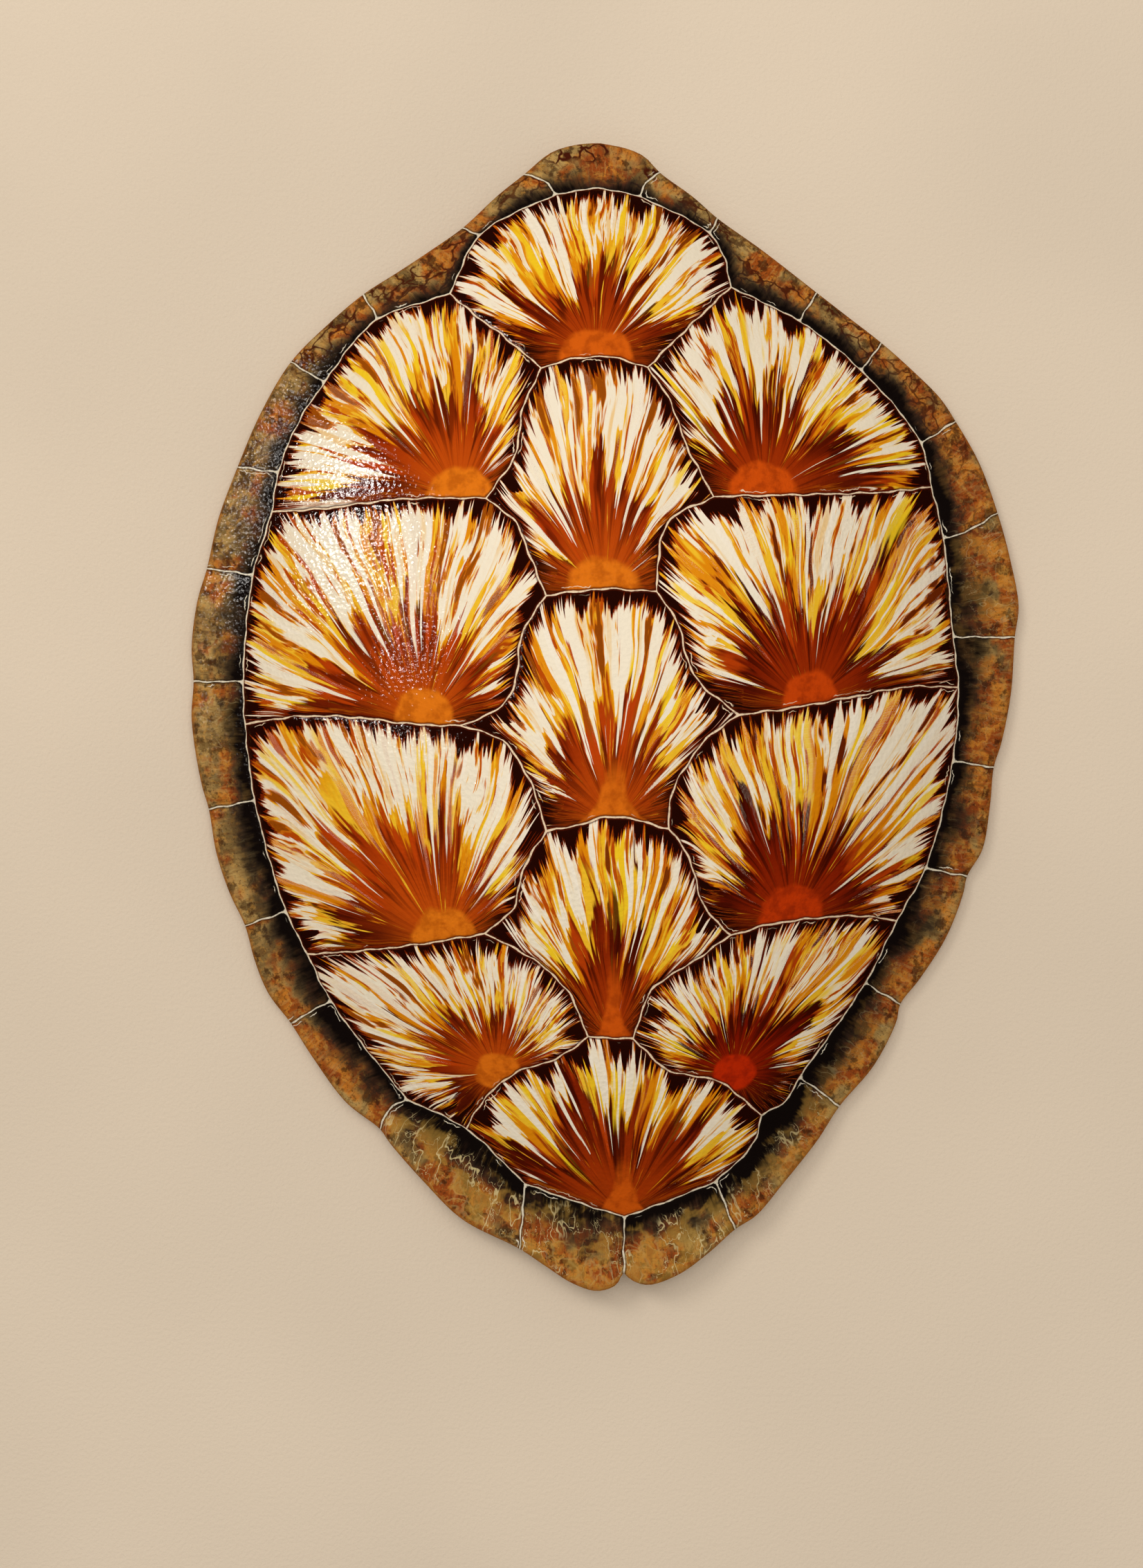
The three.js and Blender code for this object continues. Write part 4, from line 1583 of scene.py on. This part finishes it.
    @staticmethod
    def half_disc(fan: Fan, tint: Value, streak: Value) -> Value:
        """The plain disc at the fan's source, or a bell-shaped flame in its place, with a glow.

        Args:
            fan: The plate's fan.
            tint: The finish below.
            streak: Noise drawn out along the rays.

        Returns:
            The finish with the disc.
        """
        g = fan.g
        wide, high, flame = g.split("disc")
        sway = g.math("SUBTRACT", g.noise(fan.place, 90.0, 2.0), 0.5)
        shares = ((fan.across, wide), (fan.up, high))
        squares = [g.math("POWER", g.math("DIVIDE", *share), 2.0) for share in shares]
        oval = g.math("MULTIPLY_ADD", sway, 0.35, g.math("SQRT", g.math("ADD", *squares)))
        bell = g.math("POWER", math.e, g.math("MULTIPLY", g.math("MAXIMUM", fan.up, 0.0), -0.12))
        bell = g.math("MULTIPLY", wide, g.math("MULTIPLY_ADD", bell, 0.85, 0.2))
        bell = g.math("SUBTRACT", bell, g.math("ABSOLUTE", fan.across))
        bell = g.math("MULTIPLY_ADD", sway, 5.0, bell)
        tall = g.ramp(g.math("DIVIDE", fan.up, g.math("MULTIPLY", flame, 75.0)), 1.0, 0.35)
        bell = g.math("MULTIPLY", g.ramp(bell, -1.5, 1.2), tall)
        disc = g.mix(g.ramp(flame, 0.35, 0.4), g.ramp(oval, 1.1, 0.88), bell)
        glow = g.math("MULTIPLY", g.ramp(oval, 2.1, 0.9), g.ramp(streak, 0.6, 0.42, 0.15, 0.6))
        mottle = g.ramp(g.noise(fan.place, 130.0, 3.0, 0.6), 0.4, 0.7)
        plain, spotted = g.blend(fan.red, "e67c18", "c42c06"), g.blend(fan.red, "c86410", "a42206")
        tint = g.mix(glow, tint, g.blend(fan.red, "c0500e", "8e2004"))
        return g.mix(disc, tint, g.mix(mottle, plain, spotted))

    def seam_lines(self, g: Graph, tint: Value, place: Value, gap: Value, dark: tuple[str, float],
                   pale: str) -> Value:
        """The pale line in the seams and the dark one beside it.

        Args:
            g: Graph of the material.
            tint: The finish below.
            place: Place on the object.
            gap: Distance from the nearest seam, mm.
            dark: Colour of the dark line, and how well it covers.
            pale: Colour of the pale line.

        Returns:
            The finish with the lines.
        """
        lines = g.use(self.seams, {"Place": place, "Gap": gap}).outputs
        tint = g.glaze(tint, dark[0], lines["Dark"], dark[1])
        return g.glaze(tint, pale, lines["Pale"])

    def rayed_horn(self) -> None:
        """Large plates: fans of cream, yellow, amber and rust rays on black-brown."""
        g, shader, place = start_material(Surface.PLATE.label)
        across, up, along = g.split("fan")
        gap, seed, red = g.split("edge")
        spread, shallow, depth = g.split("spread")
        angle = g.math("ARCTAN2", across, up)
        straight = Fan(g, place, across, up, along, gap, seed, red, angle)
        bristle = straight.noise(60.0, 2.5, 2.0, 0.6)
        bend = g.math("SUBTRACT", straight.noise(2.2, 1.6, 1.0), 0.5)
        fan = replace(straight, angle=g.math("MULTIPLY_ADD", bend, 0.16, angle))
        streak = fan.noise(18.0, 1.6, 3.0, 0.6)
        cluster = g.math("SUBTRACT", fan.noise(3.0, 0.0, 1.0), 0.5)
        edge_on = g.ramp(g.math("DIVIDE", g.math("ABSOLUTE", angle), spread), 0.45, 0.9)
        far = g.math("MULTIPLY_ADD", cluster, 0.5, g.math("MINIMUM", along, shallow))
        far = g.math("MULTIPLY_ADD", edge_on, -0.2, far)
        deep = g.math("MULTIPLY_ADD", red, 0.45, 0.55)
        tint = self.core(fan, streak, far, deep)
        tint = g.glaze(tint, "421004", edge_on, 0.85)
        tint = self.strokes(fan, tint, streak, far, bristle, deep)
        tint = self.black_border(fan, tint, depth)
        tint = self.half_disc(fan, tint, streak)
        tint = self.seam_lines(g, tint, place, gap, ("4a1406", 0.8), "f0d6b4")
        self.finish(g, shader, place, tint, 1.0, g.ramp(gap, 0.4, 1.6, 0.2, 0.85))

    @staticmethod
    def pale_roots(g: Graph, along: Value, across: Value, seed: Value) -> Value:
        """Thin pale threads, as of roots.

        Args:
            g: Graph of the material.
            along: Distance along the edge, mm.
            across: Distance from the inner seam, mm.
            seed: Number that sets the plates apart.

        Returns:
            Their mask.
        """
        masks = []
        for round_by, out_by, width in ROOTS:
            turn = g.math("MULTIPLY_ADD", across, out_by, seed)
            level = g.noise(g.vector(g.math("MULTIPLY", along, round_by), turn), 1.0, 3.0, 0.55)
            off = g.math("ABSOLUTE", g.math("SUBTRACT", level, 0.5))
            masks.append(g.ramp(off, width, width / 4))
        return g.math("MAXIMUM", *masks)

    def mottled_horn(self) -> None:
        """Brim plates: ochre, rust and grey mottling, black along the dome partly as painted shade,
        cracks and veins.
        """
        g, shader, place = start_material(Surface.RIM.label)
        along, across, part = g.split("fan")
        gap, seed, warmth = g.split("edge")
        cracked, veined, black = g.split("disc")
        moved = g.node("ShaderNodeVectorMath", {0: place, 1: g.vector(seed, 0.0, 0.0)},
                       operation="ADD").outputs[0]
        bent = g.node("ShaderNodeTexNoise", {"Vector": moved, "Scale": 90.0, "Detail": 2.0})
        warp = g.node("ShaderNodeVectorMath", {0: bent.outputs["Color"], 1: (0.016,) * 3},
                      operation="MULTIPLY").outputs[0]
        warp = g.node("ShaderNodeVectorMath", {0: moved, 1: warp}, operation="ADD").outputs[0]
        patch = g.noise(moved, 42.0, 3.0, 0.55)
        other = g.noise(warp, 60.0, 3.0, 0.55)
        fine = g.noise(moved, 230.0, 4.0, 0.65)
        speck = g.noise(moved, 700.0, 2.0, 0.6)
        combed = g.vector(g.math("MULTIPLY", along, 0.45), g.math("MULTIPLY_ADD", across, 0.07, seed))
        combed = g.noise(combed, 1.0, 3.0, 0.6)
        where = g.noise(moved, 38.0, 1.0)
        blotch = g.ramp(other, 0.4, 0.6)
        choose = g.math("MULTIPLY_ADD", warmth, 0.34, g.math("SUBTRACT", patch, 0.17))
        cool, warm = g.blend(blotch, "7c6238", "b49256"), g.blend(blotch, "94461a", "c67c2c")
        tint = g.mix(g.ramp(choose, 0.42, 0.56), cool, warm)
        rust = g.math("MULTIPLY", g.ramp(other, 0.57, 0.62), g.ramp(patch, 0.4, 0.55))
        tint = g.glaze(tint, "933c12", rust, 0.8)
        tint = g.glaze(tint, "66401f", g.ramp(combed, 0.5, 0.66), 0.5)
        tint = g.glaze(tint, "b98a4c", g.ramp(combed, 0.46, 0.34), 0.4)
        tint = g.glaze(tint, "3a2010", g.ramp(g.noise(moved, 95.0, 4.0, 0.65), 0.52, 0.62), 0.75)
        tint = g.glaze(tint, "c08c40", g.ramp(fine, 0.53, 0.66), 0.5)
        tint = g.glaze(tint, "2c1a10", g.ramp(speck, 0.4, 0.3), 0.5)
        cell = g.node("ShaderNodeTexVoronoi", {"Vector": warp, "Scale": 95.0},
                      feature="DISTANCE_TO_EDGE").outputs["Distance"]
        crack = g.math("MULTIPLY", g.ramp(cell, 0.1, 0.03), cracked)
        tint = g.glaze(tint, "45190c", crack, g.ramp(where, 0.38, 0.5))
        web = g.math("MULTIPLY", g.ramp(cell, 0.08, 0.02), veined)
        web = g.math("MULTIPLY", web, g.ramp(where, 0.52, 0.38))
        tint = g.glaze(tint, "c8a868", web, 0.3)
        # Black band along the inner seam: partly the brim's own dark paint, partly painted shade of the
        # gutter below the dome's flank.
        paint_and_shade = g.math("MULTIPLY_ADD", g.math("SUBTRACT", patch, 0.5), 0.8, part)
        paint_and_shade = g.math("SUBTRACT", g.math("MULTIPLY_ADD", combed, 0.3, paint_and_shade), 0.15)
        paint_and_shade = g.math("SUBTRACT", paint_and_shade, black)
        tint = g.glaze(tint, "30261e", g.ramp(paint_and_shade, 0.36, -0.04), 0.9)
        tint = g.glaze(tint, "120c0a", g.ramp(paint_and_shade, 0.1, -0.2))
        rooted = g.math("MULTIPLY", g.ramp(veined, 0.25, 1.0), g.ramp(paint_and_shade, -0.2, 0.0))
        haze = g.math("MULTIPLY", rooted, 0.5)
        tint = g.glaze(tint, "b0883c", haze, g.ramp(other, 0.46, 0.6))
        roots = g.math("MULTIPLY", self.pale_roots(g, along, across, seed), rooted)
        roots = g.math("MULTIPLY", roots, g.ramp(where, 0.4, 0.54))
        tint = g.glaze(tint, "dcc890", roots, 0.75)
        # Painted highlight: orange-tan along the outer edge of the lip and just under it.
        tint = g.glaze(tint, "a8682a", g.ramp(g.math("MULTIPLY_ADD", fine, 0.12, part), 0.97, 1.06), 0.6)
        tint = self.seam_lines(g, tint, place, gap, ("1c120c", 0.6), "e0d6bf")
        self.finish(g, shader, place, tint, 1.2, 0.25)

    def bare_bone(self) -> None:
        """Underside: ivory bone, browner in patches, with pores darkened by painted shade."""
        g, shader, place = start_material(Surface.BONE.label)
        cloud = g.noise(place, 14.0, 4.0, 0.6, solid=True)
        fine = g.noise(place, 120.0, 4.0, 0.65, solid=True)
        tint = g.blend(g.ramp(cloud, 0.35, 0.65), "dccba4", "b99a68")
        tint = g.glaze(tint, "8f6f43", g.ramp(fine, 0.5, 0.72), 0.6)
        pores = g.node("ShaderNodeTexVoronoi", {"Vector": place, "Scale": 240.0})
        # Painted shade: the pores, sunk by the bump below, are darkened brown.
        hole = g.ramp(pores.outputs["Distance"], 0.22, 0.08)
        tint = g.glaze(tint, "6b4f30", hole, 0.5)
        height = g.math("SUBTRACT", g.math("ADD", fine, cloud), g.math("MULTIPLY", hole, 0.5))
        bump = g.node("ShaderNodeBump", {"Strength": 0.8, "Distance": 0.0006, "Height": height})
        g.feed(shader.inputs["Base Color"], tint)
        g.feed(shader.inputs["Roughness"], 0.62)
        g.feed(shader.inputs["Normal"], bump.outputs["Normal"])

    def make_all(self) -> None:
        """Makes the three materials."""
        for surface in Surface:
            getattr(self, surface.label)()
            LOG.info("made the material %s", surface.label)


@dataclass(frozen=True)
class Lamp:
    """One soft lamp.

    Attributes:
        name: Plain name.
        place: Where it hangs, m.
        size: Side of the square that it shines from, m.
        power: Watts.
        mirrored: True for a lamp that shows only as glare in the varnish, False for one that lights
            the scene and leaves no glare.
    """

    name: str
    place: tuple[float, float, float]
    size: float
    power: float
    mirrored: bool


@dataclass
class Studio:
    """Floor, lamps and camera.

    Attributes:
        floor_tint: Colour of the floor.
        air: Brightness of the light from all round.
        eye: Where the camera hangs, m.
        frame_height: Height of the ground that the picture takes in, m.
        sensor: Height of the camera's sensor, mm.
        lamps: The lamps.
    """

    floor_tint: str = "e2d2bc"
    air: float = 0.42
    eye: tuple[float, float, float] = (-0.0171, -0.0347, 1.2)
    frame_height: float = 0.8237
    sensor: float = 24.0
    lamps: tuple[Lamp, ...] = (
        Lamp("window", (-1.5, 0.75, 0.17), 0.3, 10.0, True),
        Lamp("high_window", (-1.3, 0.2, 0.7), 0.1, 1.5, True),
        Lamp("sky_light", (-1.4, 1.3, 2.2), 0.9, 21.0, False),
        Lamp("overhead", (0.1, 0.5, 2.3), 1.8, 23.0, False),
    )

    def lay_floor(self) -> None:
        """Lays the pale floor."""
        bpy.ops.mesh.primitive_plane_add(size=8, location=(0, 0, -FLOOR_GAP))
        floor = bpy.context.object
        floor.name = "floor"
        g, shader, place = start_material("floor_paint")
        grain = g.noise(place, 520.0, 3.0, 0.6)
        cloud = g.noise(place, 3.0, 2.0)
        pale = colour(self.floor_tint)
        dim = tuple(0.93 * c for c in pale[:3]) + (1.0,)
        g.feed(shader.inputs["Base Color"], g.mix(g.ramp(cloud, 0.3, 0.7), pale, dim))
        g.feed(shader.inputs["Roughness"], 0.85)
        g.feed(shader.inputs["Specular IOR Level"], 0.0)
        bump = g.node("ShaderNodeBump", {"Strength": 0.6, "Distance": 0.0006, "Height": grain})
        g.feed(shader.inputs["Normal"], bump.outputs["Normal"])
        floor.data.materials.append(bpy.data.materials["floor_paint"])
        floor.visible_glossy = False

    def hang_lamps(self) -> None:
        """Hangs the lamps, each facing the shell, and sets the light from all round."""
        for lamp in self.lamps:
            x, y, z = lamp.place
            tilt = math.atan2(math.hypot(x, y), z)
            turn = math.atan2(y, x) + math.pi / 2
            bpy.ops.object.light_add(type="AREA", location=lamp.place, rotation=(tilt, 0, turn))
            light = bpy.context.object
            light.name = lamp.name
            light.data.energy = lamp.power
            light.data.size = lamp.size
            light.data.color = colour(DAYLIGHT)[:3]
            light.visible_glossy = lamp.mirrored
            light.visible_diffuse = not lamp.mirrored
        world = bpy.data.worlds.new("air")
        world.use_nodes = True
        background = world.node_tree.nodes["Background"]
        background.inputs["Color"].default_value = colour(DAYLIGHT)
        background.inputs["Strength"].default_value = self.air
        world.cycles_visibility.glossy = False
        bpy.context.scene.world = world

    def set_camera(self) -> None:
        """Hangs the camera straight over the shell, head end up in the picture."""
        bpy.ops.object.camera_add(location=self.eye, rotation=(0, 0, 0))
        camera = bpy.context.object
        camera.name = "camera"
        camera.data.sensor_fit = "VERTICAL"
        camera.data.sensor_height = self.sensor
        camera.data.lens = self.sensor * self.eye[2] / self.frame_height
        bpy.context.scene.camera = camera
        bpy.context.scene.view_settings.view_transform = "Standard"


def main() -> None:
    """Builds the shell and its studio."""
    logging.basicConfig(level=logging.INFO, format="%(message)s")
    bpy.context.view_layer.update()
    Finishes().make_all()
    shell = Carapace().build()
    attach(shell, "root")
    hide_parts("carapace")
    LOG.info("shell: %d faces", len(shell.data.polygons))
    studio = Studio()
    studio.lay_floor()
    studio.hang_lamps()
    studio.set_camera()


if __name__ == "__main__":
    main()
